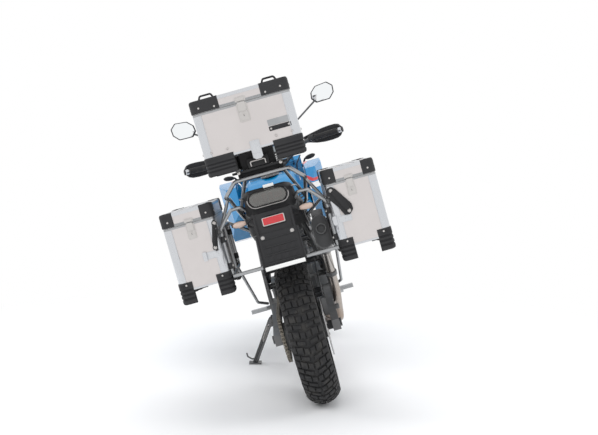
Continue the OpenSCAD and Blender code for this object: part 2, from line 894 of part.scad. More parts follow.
module front_mudguard() {
    inner = front_r + 18;
    color("deepskyblue") {
        translate([0, wheelbase, front_axle_z]) rotate([20, 0, 0]) rotate([0, 90, 0])
            rotate([0, 0, 90]) rotate_extrude(angle = 135) difference() {
                translate([inner - 46, -front_w / 2 - 12]) square([50, front_w + 24]);
                translate([inner - 50, -front_w / 2 - 8]) square([50, front_w + 16]);
            }
        // Pegs that hold the mudguard between the fork legs
        both_sides() difference() {
            bar(steering_point(front_w / 2 + 9, fork_y, guard_peg_t),
                steering_point(fork_x, fork_y, guard_peg_t), 16);
            on_steering() translate([fork_x, fork_y, axle_t])
                cylinder(d = fork_leg_d + 2 * fit, h = 400);
        }
    }
}

module front_brake() {
    color("black") {
        on_steering() both_sides() difference() {
            union() {
                translate([55, fork_y - fork_leg_d / 2 - 66, axle_t + 66]) cube([34, 66, 100]);
                translate([fork_x - 22, fork_y - fork_leg_d / 2 - 34, axle_t + 90])
                    cube([20, 40, 34]);
            }
            translate([61, axle_u, axle_t]) rotate([0, 90, 0]) cylinder(r = 158, h = 11);
            translate([fork_x, fork_y, axle_t]) cylinder(d = fork_leg_d + 2 * fit, h = 400);
        }
        // Hose outside the right fork leg, up to the brake lever
        tube([steering_point(76, -24, 530), steering_point(108, -18, 610),
            steering_point(142, 10, 700), steering_point(147, 22, 780),
            steering_point(147, 24, 1000), steering_point(150, 36, 1090),
            steering_point(160, 30, 1140),
            steering_point(190, 20, 1190)], 7);
    }
}

// Right half of the handlebar: middle, rise and sweep back to the grip end
bar_path = [steering_point(0, 3, bar_t), steering_point(60, 3, bar_t),
    [196, 1084 + stretch, 1128], [262, 1056 + stretch, 1148], [428, 1000 + stretch, 1152]];
grip_from = 0.2;
grip_to = 0.96;

function along(a, b, share) = a + share * (b - a);

module handlebar() {
    color("black") both_sides() tube(bar_path, bar_d);
}

module hand_controls() {
    from = along(bar_path[3], bar_path[4], grip_from);
    to = along(bar_path[3], bar_path[4], grip_to);
    clamp_from = along(bar_path[3], bar_path[4], 0);
    clamp_to = along(bar_path[3], bar_path[4], 0.18);
    color("black") both_sides() difference() {
        union() {
            bar(from, to, 34);
            bar(clamp_from, clamp_to, 40);
            bar(clamp_to, clamp_to + [10, 50, 2], 18);
            bar(clamp_to + [10, 48, 2], to + [-14, 50, 2], 12);
        }
        bar(along(bar_path[3], bar_path[4], -0.1), along(bar_path[3], bar_path[4], 1.1),
            bar_d + 2 * fit);
    }
}

module hand_guards() {
    plan = [[232, 1100], [300, 1122], [390, 1100], [440, 1050], [guard_reach, 990],
        [guard_reach - 14, 990], [428, 1044], [384, 1088], [302, 1110], [238, 1088]];
    color("black") both_sides() ahead() {
        translate([0, 0, 1110]) linear_extrude(86) polygon(plan);
        bar([429, 1000, 1152], [guard_reach - 4, 994, 1152], 30);
    }
}

module mirrors() {
    head = [mirror_x, 1020 + stretch, 1378];
    color("black") both_sides() {
        difference() {
            union() {
                ahead() tube([[216, 1090, 1140], [214, 1072, 1262], [mirror_x - 40, 1026, 1350]],
                    10);
                ahead() translate([205, 1060, 1116]) cube([22, 36, 40]);
            }
            tube(bar_path, bar_d + 2 * fit);
        }
        translate(head) rotate([90, 0, 0]) translate([0, 0, -9.7]) linear_extrude(20)
            rounded_rectangle(134, 98, 40);
    }
}

// ---- Side stand ----

// Places something about the stand's bolt, which lies along the local X
module at_stand_pivot() {
    translate(stand_pivot) rotate([0, stand_splay, 0]) children();
}

module side_stand() {
    color("black") at_stand_pivot() difference() {
        union() {
            translate([-10, 0, 0]) rotate([0, 90, 0]) cylinder(d = 40, h = 12);
            rotate([stand_rake, 0, 0]) translate([-4, 0, 6 - stand_length])
                cylinder(d = 24, h = stand_length - 6);
        }
        translate([-30, 0, 0]) rotate([0, 90, 0])
            cylinder(d = stand_bolt_d + 2 * pin_play, h = 60);
        translate([2, -60, -60]) cube([30, 120, 120]);
    }
    color("black") translate(stand_foot) rotate([0, lean, 0]) translate([-32, -26, 0])
        cube([64, 52, 8]);
}

park() frame();
park() engine();
park() radiator();
park() skid_plate();
park() exhaust_header();
park() silencer();
park() fuel_tank();
park() side_fairings();
park() front_fairing();
park() headlight();
park() windscreen();
park() instruments();
park() seat();
park() tail_cover();
park() tail_light();
park() indicators();
park() rear_mudguard();
park() plate_holder();
park() swingarm();
park() stand_bosses();
park() shock_absorber();
park() drive_chain();
park() rear_brake();
park() foot_controls();
park() luggage_rack();
park() rack_plate();
park() top_box();
park() pannier_left();
park() pannier_right();
park() fork();
park() triple_clamps();
park() front_mudguard();
park() front_brake();
park() handlebar();
park() hand_controls();
park() hand_guards();
park() mirrors();
park() front_wheel();
park() front_tyre();
park() front_discs();
park() rear_wheel();
park() rear_tyre();
park() rear_disc();
park() rear_sprocket();
park() side_stand();
park() top_box_lid();
park() pannier_lid_left();
park() pannier_lid_right();
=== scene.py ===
# %% [markdown]
# # Adventure motorcycle, parked on its side stand
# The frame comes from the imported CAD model. Each cell adds the looks of one piece. The bike is
# drawn upright in millimetres, X to its right, Y forward and Z up, and `TO_ROW` leans it.

# %% Load the frame
import json
import math
import bmesh
import bpy
import numpy as np
from mathutils import Matrix, Vector


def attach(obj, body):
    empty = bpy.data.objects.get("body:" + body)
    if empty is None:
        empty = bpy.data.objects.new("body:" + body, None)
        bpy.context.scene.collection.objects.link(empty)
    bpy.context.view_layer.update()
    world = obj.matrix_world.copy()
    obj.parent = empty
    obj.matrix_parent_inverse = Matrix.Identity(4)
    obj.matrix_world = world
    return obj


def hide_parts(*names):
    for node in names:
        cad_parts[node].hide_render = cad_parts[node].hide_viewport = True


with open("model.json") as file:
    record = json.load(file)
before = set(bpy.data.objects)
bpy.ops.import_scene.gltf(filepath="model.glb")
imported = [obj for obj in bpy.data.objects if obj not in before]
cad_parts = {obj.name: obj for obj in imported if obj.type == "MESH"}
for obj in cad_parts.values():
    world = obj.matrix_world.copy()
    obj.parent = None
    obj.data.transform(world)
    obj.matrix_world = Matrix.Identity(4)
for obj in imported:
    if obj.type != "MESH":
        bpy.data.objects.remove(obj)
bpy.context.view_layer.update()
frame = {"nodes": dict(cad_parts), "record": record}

LEAN = math.radians(15.5)
ROW_SHIFT = (0.283928, -0.746, 0)
TO_ROW = Matrix.Translation(ROW_SHIFT) @ Matrix.Rotation(-LEAN, 4, "Y") @ Matrix.Scale(0.001, 4)
CASTER = math.radians(26)
nodes = frame["nodes"]

# %% [markdown]
# ## Expressions for node trees
# `Tree` makes any node from its type, its settings and its sockets. `Field` wraps one output and
# turns Python's operators into Math nodes, so a finish reads as a formula.

# %% Node tree helpers
class Field:
    def __init__(self, tree, socket):
        self.tree = tree
        self.socket = socket

    def math(self, operation, *rest):
        inputs = dict(enumerate((self,) + rest))
        return self.tree.node("ShaderNodeMath", {"operation": operation}, inputs)[0]

    def swap(self, operation, first):
        return self.tree.node("ShaderNodeMath", {"operation": operation}, {0: first, 1: self})[0]

    def __add__(self, b):
        return self.math("ADD", b)

    def __sub__(self, b):
        return self.math("SUBTRACT", b)

    def __rsub__(self, b):
        return self.swap("SUBTRACT", b)

    def __mul__(self, b):
        return self.math("MULTIPLY", b)

    def __truediv__(self, b):
        return self.math("DIVIDE", b)

    def __rtruediv__(self, b):
        return self.swap("DIVIDE", b)

    def __gt__(self, b):
        return self.math("GREATER_THAN", b)

    def __lt__(self, b):
        return self.math("LESS_THAN", b)

    def __abs__(self):
        return self.math("ABSOLUTE")

    __radd__ = __add__
    __rmul__ = __mul__

    def sin(self):
        return self.math("SINE")

    def clamp(self, low=0.0, high=1.0):
        return self.math("MAXIMUM", low).math("MINIMUM", high)

    def step(self, low, high):
        """0 below low, 1 above high, smooth between."""
        sockets = {"Value": self, "From Min": low, "From Max": high}
        return self.tree.node("ShaderNodeMapRange", {"interpolation_type": "SMOOTHSTEP"}, sockets)[0]

    def pick(self, a, b):
        """Colour a where this is 0, colour b where it is 1."""
        settings = {"data_type": "RGBA"}
        return self.tree.node("ShaderNodeMix", settings, {0: self, 6: a, 7: b}).at(2)


class Made:
    def __init__(self, tree, node):
        self.tree = tree
        self.node = node

    def __getitem__(self, key):
        return Field(self.tree, self.node.outputs[key])

    def at(self, index):
        return Field(self.tree, self.node.outputs[index])


class Tree:
    def __init__(self, tree):
        self.tree = tree

    def put(self, socket, value):
        if isinstance(value, Made):
            value = value[0]
        if isinstance(value, Field):
            self.tree.links.new(value.socket, socket)
        elif value is not None:
            if socket.type == "RGBA" and len(value) == 3:
                value = (*value, 1)
            socket.default_value = value

    def node(self, kind, settings=None, sockets=None):
        made = self.tree.nodes.new(kind)
        for name, value in (settings or {}).items():
            setattr(made, name, value)
        for name, value in (sockets or {}).items():
            self.put(made.inputs[name], value)
        return Made(self, made)


class Finish(Tree):
    """One material. Positions inside it are millimetres of the upright bike."""
    def __init__(self, name):
        self.material = bpy.data.materials.new(name)
        self.material.use_nodes = True
        super().__init__(self.material.node_tree)
        self.tree.nodes.clear()
        row = self.node("ShaderNodeTexCoord")["Object"]
        place = {"Vector": row, "Location": ROW_SHIFT, "Rotation": (0, -LEAN, 0),
                 "Scale": (0.001, 0.001, 0.001)}
        self.place = self.node("ShaderNodeMapping", {"vector_type": "TEXTURE"}, place)[0]
        split = self.node("ShaderNodeSeparateXYZ", None, {0: self.place})
        self.x, self.y, self.z = (split.at(i) for i in range(3))

    def noise(self, size, detail=3.0, stretch=(1, 1, 1), rough=0.55):
        """Soft noise from 0 to 1 whose lumps are about size millimetres across."""
        place = self.node("ShaderNodeMapping", None, {"Vector": self.place, "Scale": stretch})[0]
        sockets = {"Vector": place, "Scale": 1 / size, "Detail": detail, "Roughness": rough}
        return self.node("ShaderNodeTexNoise", None, sockets)[0]

    def cells(self, size, feature="F1", out="Distance"):
        sockets = {"Vector": self.place, "Scale": 1 / size}
        return self.node("ShaderNodeTexVoronoi", {"feature": feature}, sockets)[out]

    def wear(self):
        """1 on sharp outer edges, 0 on flat faces."""
        return self.node("ShaderNodeNewGeometry")["Pointiness"].step(0.505, 0.56)

    def bump(self, height, depth, strength=1.0):
        """A normal from a height field, depth in millimetres."""
        sockets = {"Height": height, "Distance": depth * 0.001, "Strength": strength}
        return self.node("ShaderNodeBump", None, sockets)[0]

    def surface(self, colour, rough, metal=0.0, normal=None, **more):
        sockets = {"Base Color": colour, "Roughness": rough, "Metallic": metal, "Normal": normal}
        sockets.update(more)
        shader = self.node("ShaderNodeBsdfPrincipled", None, sockets)
        self.node("ShaderNodeOutputMaterial", None, {"Surface": shader[0]})
        return self.material


# %% [markdown]
# ## Finishes
# Metals keep a soft grain and a little dirt, plastics a moulded texture, and paint a clear coat.
# Every finish reads the bike's own millimetres, so a pattern keeps its real size on any piece.

# %% Metals
def satin_metal(name, colour, rough, grain=0.25, dirt=0.25, along=(1, 1, 1), size=2.5):
    m = Finish(name)
    fine = m.noise(size, 4, along)
    cloud = m.noise(90, 3)
    spots = m.noise(9, 2).step(0.62, 0.75)
    dark = tuple(c * 0.72 for c in colour)
    tint = (cloud.step(0.35, 0.7) * dirt).pick(colour, dark)
    wet = rough + (fine - 0.5) * grain + spots * 0.08
    return m.surface(tint, wet.clamp(0.04, 1.0), 1.0, m.bump(fine, 0.03, 0.5))


def powder_coat(name, colour, rough=0.42, metal=0.0, size=1.6, depth=0.05):
    m = Finish(name)
    fine = m.noise(size, 2)
    dust = m.noise(60, 4).step(0.45, 0.8)
    up = m.node("ShaderNodeNewGeometry")["Normal"]
    facing = m.node("ShaderNodeSeparateXYZ", None, {0: up}).at(2).step(0.2, 0.95)
    pale = tuple(c * 0.6 + 0.09 for c in colour)
    tint = (dust * facing * 0.35).pick(colour, pale)
    worn = m.wear().pick(tint, tuple(c * 0.7 + 0.12 for c in colour))
    return m.surface(worn, (rough + dust * 0.12 + (fine - 0.5) * 0.1), metal, m.bump(fine, depth, 0.6))


def moulded(name, colour, rough=0.55, size=0.9, depth=0.12):
    m = Finish(name)
    grain = m.cells(size)
    dust = m.noise(45, 5).step(0.5, 0.85)
    tint = (dust * 0.2).pick(colour, tuple(c * 0.6 + 0.035 for c in colour))
    worn = (m.wear() * 0.4).pick(tint, tuple(c + 0.04 for c in colour))
    return m.surface(worn, rough + dust * 0.15, 0.0, m.bump(grain, depth, 0.5),
                     **{"Specular IOR Level": 0.3})


def paint(name, colour, flake=0.06, rough=0.28):
    m = Finish(name)
    peel = m.noise(3.5, 2)
    flakes = m.cells(0.35, "F1", "Color")
    bright = m.node("ShaderNodeSeparateColor", None, {0: flakes}).at(0)
    tint = (bright * flake).pick(colour, tuple(min(1, c * 1.6 + 0.12) for c in colour))
    dust = m.noise(80, 5).step(0.55, 0.8)
    return m.surface(tint, rough + dust * 0.1, 0.0, m.bump(peel, 0.02, 0.3),
                     **{"Coat Weight": 0.8, "Coat Roughness": 0.06})


FINISH = {}
FINISH["bare_aluminium"] = satin_metal("bare_aluminium", (0.685, 0.65, 0.642), 0.44, 0.12, 0.12,
                                       (0.05, 0.05, 1.4), 1.6)
FINISH["bright_aluminium"] = satin_metal("bright_aluminium", (0.63, 0.645, 0.67), 0.28, 0.06, 0.08,
                                         (1, 1, 0.04), 1.2)
FINISH["zinc_steel"] = satin_metal("zinc_steel", (0.60, 0.58, 0.565), 0.3, 0.06, 0.1)
FINISH["rack_steel"] = satin_metal("rack_steel", (0.42, 0.43, 0.44), 0.38, 0.12, 0.3)
FINISH["dark_steel"] = powder_coat("dark_steel", (0.022, 0.023, 0.025), 0.38)
FINISH["engine_casting"] = powder_coat("engine_casting", (0.16, 0.165, 0.17), 0.52, 0.7, 2.2, 0.16)
FINISH["black_plastic"] = moulded("black_plastic", (0.012, 0.012, 0.0135))
FINISH["gloss_black"] = paint("gloss_black", (0.012, 0.012, 0.014), 0.02, 0.2)
FINISH["wheel_alloy"] = powder_coat("wheel_alloy", (0.03, 0.031, 0.033), 0.34, 0.3)
FINISH["disc_steel"] = satin_metal("disc_steel", (0.55, 0.55, 0.55), 0.3, 0.15, 0.15)
FINISH["spring_steel"] = powder_coat("spring_steel", (0.6, 0.6, 0.58), 0.3)
FINISH["chain_steel"] = satin_metal("chain_steel", (0.36, 0.33, 0.28), 0.38, 0.2, 0.5)
FINISH["mirror_case"] = moulded("mirror_case", (0.02, 0.02, 0.022), 0.45)
print(len(FINISH), "opaque finishes")

# %% Exhaust, rubber, seat and lenses
def heated_steel():
    m = Finish("exhaust_steel")
    heat = m.z.step(620, 240) * m.noise(120, 2).step(0.1, 0.9)
    grain = m.noise(2, 4)
    warm = heat.pick((0.46, 0.44, 0.42), (0.33, 0.22, 0.14))
    return m.surface(warm, 0.28 + (grain - 0.5) * 0.2, 1.0, m.bump(grain, 0.03, 0.4))


def rubber():
    m = Finish("tyre_rubber")
    fine = m.noise(1.2, 3)
    dust = m.noise(35, 5).step(0.42, 0.75)
    tint = (dust * 0.45).pick((0.012, 0.012, 0.013), (0.06, 0.056, 0.05))
    return m.surface(tint, 0.62 + fine * 0.2, 0.0, m.bump(fine, 0.12, 0.6))


def vinyl():
    m = Finish("seat_cover")
    leather = m.cells(2.1, "DISTANCE_TO_EDGE")
    soft = m.noise(30, 3)
    tint = soft.step(0.4, 0.8).pick((0.018, 0.018, 0.02), (0.035, 0.034, 0.034))
    return m.surface(tint, 0.5 + soft * 0.15, 0.0, m.bump(leather.step(0.0, 0.25), 0.16, 0.7))


def lens(name, colour, rough=0.06, ridge=6.0, through=0.35):
    m = Finish(name)
    ridges = (m.x * (6.283 / ridge)).sin() * (m.z * (6.283 / ridge)).sin()
    more = {"Transmission Weight": through, "IOR": 1.49, "Coat Weight": 1.0, "Coat Roughness": 0.03}
    return m.surface(colour, rough, 0.0, m.bump(ridges, 0.35, 0.6), **more)


def clear_sheet(name, colour, clear):
    """Thin tinted plastic: part see-through, part glossy."""
    m = Finish(name)
    smear = m.noise(40, 4).step(0.5, 0.9)
    sockets = {"Base Color": colour, "Roughness": 0.08 + smear * 0.12, "Metallic": 0.0}
    gloss = m.node("ShaderNodeBsdfPrincipled", None, sockets)[0]
    open_part = m.node("ShaderNodeBsdfTransparent", None, {"Color": (0.86, 0.9, 0.92)})[0]
    both = m.node("ShaderNodeMixShader", None, {0: clear, 1: gloss, 2: open_part})[0]
    m.node("ShaderNodeOutputMaterial", None, {"Surface": both})
    return m.material


def mirror_glass():
    m = Finish("mirror_glass")
    smear = m.noise(25, 4).step(0.5, 0.95)
    return m.surface((0.9, 0.92, 0.93), 0.02 + smear * 0.05, 1.0)


FINISH["exhaust_steel"] = heated_steel()
FINISH["silencer_black"] = powder_coat("silencer_black", (0.014, 0.015, 0.019), 0.3, 0.2, 1.2)
FINISH["tyre_rubber"] = rubber()
FINISH["seat_cover"] = vinyl()
FINISH["tail_lens"] = lens("tail_lens", (0.20, 0.05, 0.035), 0.12, 5.0)
FINISH["smoked_lens"] = lens("smoked_lens", (0.20, 0.195, 0.18), 0.03, 60.0, 0.6)
FINISH["amber_lens"] = lens("amber_lens", (0.80, 0.60, 0.50), 0.1, 4.0, 0.3)
FINISH["red_reflector"] = lens("red_reflector", (0.52, 0.004, 0.012), 0.15, 3.0, 0.0)
FINISH["clear_lens"] = lens("clear_lens", (0.85, 0.87, 0.88), 0.04, 9.0, 0.6)
FINISH["screen"] = clear_sheet("screen", (0.05, 0.055, 0.06), 0.62)
FINISH["mirror_glass"] = mirror_glass()
FINISH["white_paint"] = paint("white_paint", (0.82, 0.82, 0.8), 0.0)
print(len(FINISH), "finishes in all")

# %% [markdown]
# ## Shapes
# `Shape` collects the closed solids of one piece: rounded boxes, prisms, tubes with real bends,
# turned parts and skins. Each is cleaned and turned outwards by itself before it is added.

# %% Shape helpers
def rounded(outline, radius, steps=5):
    """The outline with arcs of that radius at its corners."""
    points = [Vector(p) for p in outline]
    made = []
    for i, corner in enumerate(points):
        before, after = points[i - 1], points[(i + 1) % len(points)]
        a, b = (before - corner), (after - corner)
        r = radius[i] if hasattr(radius, "__len__") else radius
        half = a.angle(b) / 2 if a.length * b.length else math.pi / 2
        cut = min(r / math.tan(half) if 0.02 < half < 1.56 else 0, a.length * 0.49, b.length * 0.49)
        if cut < 0.05:
            made.append(tuple(corner))
            continue
        start, end = corner + a.normalized() * cut, corner + b.normalized() * cut
        for k in range(steps + 1):
            t = k / steps
            made.append(tuple(start * (1 - t) ** 2 + corner * 2 * t * (1 - t) + end * t * t))
    return made


def path_with_bends(points, bend, closed=False):
    """The path with its inner corners turned into arcs."""
    points = [Vector(p) for p in points]
    made = [] if closed else [points[0]]
    inner = range(len(points)) if closed else range(1, len(points) - 1)
    for i in inner:
        corner = points[i]
        a, b = points[i - 1] - corner, points[(i + 1) % len(points)] - corner
        half = max(a.angle(b) / 2, 0.05)
        cut = min(bend / math.tan(half) if half < 1.55 else 0.5, a.length * 0.45, b.length * 0.45)
        start, end = corner + a.normalized() * cut, corner + b.normalized() * cut
        steps = max(2, int(10 * (1 - half / 1.57)) + 2)
        for k in range(steps + 1):
            t = k / steps
            made.append(start * (1 - t) ** 2 + corner * 2 * t * (1 - t) + end * t * t)
    if not closed:
        made.append(points[-1])
    return made


def plate(x0, z0, x1, z1, r=3, steps=5):
    """A rectangle with rounded corners."""
    return rounded([(x0, z0), (x1, z0), (x1, z1), (x0, z1)], r, steps)


class Shape:
    def __init__(self, name, *finishes, place=None):
        self.name = name
        self.finishes = finishes
        self.place = place or Matrix()
        self.verts, self.faces, self.marks = [], [], []

    def add(self, bm, finish=0, clean=True):
        if clean:
            bmesh.ops.remove_doubles(bm, verts=bm.verts, dist=0.004)
            bmesh.ops.dissolve_degenerate(bm, edges=bm.edges, dist=0.001)
            bmesh.ops.recalc_face_normals(bm, faces=bm.faces)
        bm.verts.index_update()
        base = len(self.verts)
        self.verts += [tuple(self.place @ v.co) for v in bm.verts]
        flip = self.place.determinant() < 0
        for face in bm.faces:
            ring = [base + v.index for v in face.verts]
            self.faces.append(ring[::-1] if flip else ring)
            self.marks.append(finish)
        bm.free()
        return self

    def rings(self, rings, finish=0, around=True, along=False, caps=True):
        """A skin through rings of points, closed around and capped."""
        bm = bmesh.new()
        rows = [[bm.verts.new(p) for p in ring] for ring in rings]
        count = len(rows[0])
        pairs = list(zip(rows, rows[1:])) + ([(rows[-1], rows[0])] if along else [])
        for low, high in pairs:
            for i in range(count if around else count - 1):
                j = (i + 1) % count
                bm.faces.new((low[i], low[j], high[j], high[i]))
        if caps and not along:
            bm.faces.new(rows[0])
            bm.faces.new(rows[-1])
        return self.add(bm, finish)

    def box(self, low, high, r=1.5, finish=0, steps=2):
        bm = bmesh.new()
        low, high = Vector(low), Vector(high)
        size, middle = high - low, (low + high) / 2
        bmesh.ops.create_cube(bm, size=1, matrix=Matrix.Translation(middle) @ Matrix.Diagonal(size).to_4x4())
        r = min(r, min(abs(c) for c in size) * 0.45)
        if r > 0.05:
            bmesh.ops.bevel(bm, geom=bm.edges[:], offset=r, segments=steps, profile=0.5, affect="EDGES")
        return self.add(bm, finish)

    def prism(self, outline, axis, a, b, r=1.0, finish=0, steps=2):
        """The outline pushed along an axis from a to b, with rounded rims."""
        ring = [Vector(p) for p in outline]
        area = sum(p.x * q.y - q.x * p.y for p, q in zip(ring, ring[1:] + ring[:1]))
        ring = ring if area > 0 else ring[::-1]
        count = len(ring)
        inward = []
        for i, p in enumerate(ring):
            u, v = (p - ring[i - 1]).normalized(), (ring[(i + 1) % count] - p).normalized()
            side = Vector((-u.y - v.y, u.x + v.x))
            length = max(side.length_squared / 2, 0.35)
            inward.append(side / length)
        r = min(r, abs(b - a) * 0.45)
        levels = [(math.pi / 2 * k / steps) for k in range(steps + 1)] if r > 0.02 else [math.pi / 2]
        heights = [(r * (1 - math.sin(t)), r * (1 - math.cos(t))) for t in levels]
        sign = 1 if b > a else -1
        rows = [(inset, a + sign * h) for inset, h in heights]
        rows += [(inset, b - sign * h) for inset, h in heights[::-1]]
        put = {"x": lambda u, v, w: (w, u, v), "y": lambda u, v, w: (u, w, v), "z": lambda u, v,
               w: (u, v, w)}[axis]
        made = [[put(*(p + n * inset), w) for p, n in zip(ring, inward)] for inset, w in rows]
        return self.rings(made, finish)

    def tube(self, points, d, bend=30, finish=0, sides=16, closed=False, flat=1.0, up=None):
        """A round tube along a path; flat squeezes its section."""
        path = path_with_bends(points, bend, closed) if len(points) > 2 else [Vector(p) for p in points]
        count = len(path)
        rings = []
        last = None
        for i, p in enumerate(path):
            ahead = path[(i + 1) % count] if closed or i + 1 < count else p
            behind = path[i - 1] if closed or i else p
            way = (ahead - behind).normalized()
            if last is None:
                side = (Vector(up) if up else way.orthogonal()).cross(way).normalized()
            else:
                side = (last - way * last.dot(way)).normalized()
            last = side
            other = way.cross(side)
            rim = (d if not callable(d) else d(i / (count - 1))) / 2
            turn = [2 * math.pi * k / sides for k in range(sides)]
            rings.append([p + side * math.cos(t) * rim + other * math.sin(t) * rim * flat for t in turn])
        if not closed:
            for index, way in ((0, path[0] - path[1]), (-1, path[-1] - path[-2])):
                middle = path[index]
                push = way.normalized() * min(1.0, (d if not callable(d) else 4) * 0.08)
                cap = [middle + push + (q - middle) * 0.86 for q in rings[index]]
                rings = [cap] + rings if index == 0 else rings + [cap]
        return self.rings(rings, finish, along=closed, caps=not closed)

    def turned(self, profile, a, way, sides=48, finish=0, closed=False):
        """A part turned on the line from a: profile rows are radius and distance along."""
        way = Vector(way).normalized()
        side = way.orthogonal().normalized()
        other = way.cross(side)
        a = Vector(a)
        rings = []
        for k in range(sides):
            t = 2 * math.pi * k / sides
            out = side * math.cos(t) + other * math.sin(t)
            rings.append([a + way * h + out * r for r, h in profile])
        return self.rings(rings, finish, around=closed, along=True)

    def rod(self, a, b, d, r=0.8, finish=0, sides=24):
        """A round bar with chamfered ends."""
        a, b = Vector(a), Vector(b)
        length, radius = (b - a).length, d / 2
        r = min(r, radius * 0.4, length * 0.4)
        profile = [(0, 0), (radius - r, 0), (radius - r * 0.3, r * 0.3), (radius, r), (radius, length - r),
                   (radius - r * 0.3, length - r * 0.3), (radius - r, length), (0, length)]
        return self.turned(profile, a, b - a, sides, finish)

    def bolt(self, a, way, d=10, high=5, finish=0):
        """A hexagon head on a washer."""
        way = Vector(way).normalized()
        a = Vector(a)
        self.turned([(0, 0), (d * 0.72, 0), (d * 0.72, 1.0), (d * 0.66, 1.4), (0, 1.4)], a, way, 20, finish)
        head = [(0, 1.4), (d * 0.5, 1.4), (d * 0.5, high * 0.8), (d * 0.42, high), (0, high)]
        return self.turned(head, a, way, 6, finish)

    def mirrored(self, draw):
        """Draws both sides, with the place mirrored for the left."""
        keep = self.place
        for side in (1, -1):
            self.place = keep @ Matrix.Diagonal((side, 1, 1, 1))
            draw()
        self.place = keep
        return self

    def sweep(self, path, section, finish=0, closed=True, up=(0, 0, 1)):
        """A section of (out, up) points carried round a level path."""
        path = [Vector(p) for p in path]
        up = Vector(up)
        count = len(path)
        rings = []
        for i, p in enumerate(path):
            ahead = path[(i + 1) % count] if closed or i + 1 < count else p
            behind = path[i - 1] if closed or i else p
            out = (ahead - behind).normalized().cross(up).normalized()
            rings.append([p + out * s + up * h for s, h in section])
        return self.rings(rings, finish, along=closed, caps=not closed)


def make(shape, body, replaces=(), slot=None, sharp=32, smooth=0):
    """Turns a Shape into an object of the scene, leant with the bike, riding on its body."""
    mesh = bpy.data.meshes.new(shape.name)
    mesh.from_pydata([tuple(TO_ROW @ Vector(v)) for v in shape.verts], [], shape.faces)
    for name in shape.finishes:
        mesh.materials.append(FINISH[name])
    mesh.polygons.foreach_set("material_index", shape.marks)
    mesh.validate()
    piece = bpy.data.objects.new(shape.name, mesh)
    bpy.context.scene.collection.objects.link(piece)
    if smooth:
        finer = piece.modifiers.new("finer", "SUBSURF")
        finer.levels = finer.render_levels = smooth
        bake(piece)
    soften(piece.data, sharp)
    ride_on(piece, body, replaces, slot or shape.finishes[0])
    return piece


def bake(piece):
    """Applies the piece's modifiers."""
    graph = bpy.context.evaluated_depsgraph_get()
    done = bpy.data.meshes.new_from_object(piece.evaluated_get(graph))
    piece.modifiers.clear()
    piece.data = done
    done.name = piece.name
    return piece


def soften(mesh, sharp):
    """Smooth shading, with edges over that angle kept sharp."""
    bm = bmesh.new()
    bm.from_mesh(mesh)
    limit = math.radians(sharp)
    for edge in bm.edges:
        edge.smooth = len(edge.link_faces) == 2 and edge.calc_face_angle(0) < limit
    for face in bm.faces:
        face.smooth = True
    bm.to_mesh(mesh)
    bm.free()


TRIANGLES = {}


def ride_on(piece, body, replaces=(), slot=None):
    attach(piece, body)
    if replaces:
        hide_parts(*replaces)
    slot in SLOTS
    TRIANGLES[piece.name] = sum(len(p.vertices) - 2 for p in piece.data.polygons)
    print(piece.name, "on", body, TRIANGLES[piece.name], "triangles")


SLOTS = set(m["slot"] for m in frame["record"]["materials"])
print("slots", sorted(SLOTS))

# %% [markdown]
# ## Copies by Geometry Nodes
# Rivets, tread blocks and chain links are one small part each, repeated. The group below
# puts a copy on every point of a mesh, turned by the point's own turn attribute and sized by one
# given size times a seeded jitter, which every piece here sets to zero, and ends in plain faces.

# %% The copying group
def copy_group():
    group = bpy.data.node_groups.new("copies on points", "GeometryNodeTree")
    names = [("Geometry", "NodeSocketGeometry"), ("Part", "NodeSocketObject"),
             ("Finish", "NodeSocketMaterial"),
             ("Size", "NodeSocketFloat"), ("Size Jitter", "NodeSocketFloat"), ("Seed", "NodeSocketInt")]
    for name, kind in names:
        group.interface.new_socket(name, in_out="INPUT", socket_type=kind)
    group.interface.new_socket("Geometry", in_out="OUTPUT", socket_type="NodeSocketGeometry")
    t = Tree(group)
    given = t.node("NodeGroupInput")
    turn = t.node("GeometryNodeInputNamedAttribute", {"data_type": "FLOAT_VECTOR"}, {"Name": "turn"})
    spin = t.node("FunctionNodeEulerToRotation", None, {0: turn[0]})
    jitter = t.node("FunctionNodeRandomValue", {"data_type": "FLOAT"},
                    {2: 1 - given["Size Jitter"], 3: 1 + given["Size Jitter"], "Seed": given["Seed"]})
    points = t.node("GeometryNodeMeshToPoints", None, {"Mesh": given["Geometry"]})
    part = t.node("GeometryNodeObjectInfo", None, {"Object": given["Part"]})
    sockets = {"Points": points[0], "Instance": part["Geometry"], "Rotation": spin[0],
               "Scale": given["Size"] * jitter.at(1)}
    placed = t.node("GeometryNodeInstanceOnPoints", None, sockets)
    real = t.node("GeometryNodeRealizeInstances", None, {0: placed[0]})
    done = t.node("GeometryNodeSetMaterial", None, {"Geometry": real[0], "Material": given["Finish"]})
    t.node("NodeGroupOutput", None, {0: done[0]})
    return group


COPIES = copy_group()


def turn_to(way, about=(0, 0, 1)):
    """A turn that takes Z to way, and X as near to about as it can."""
    z = Vector(way).normalized()
    x = Vector(about) - z * Vector(about).dot(z)
    x = x.normalized() if x.length > 0.01 else z.orthogonal().normalized()
    return Matrix((x, z.cross(x), z)).transposed()


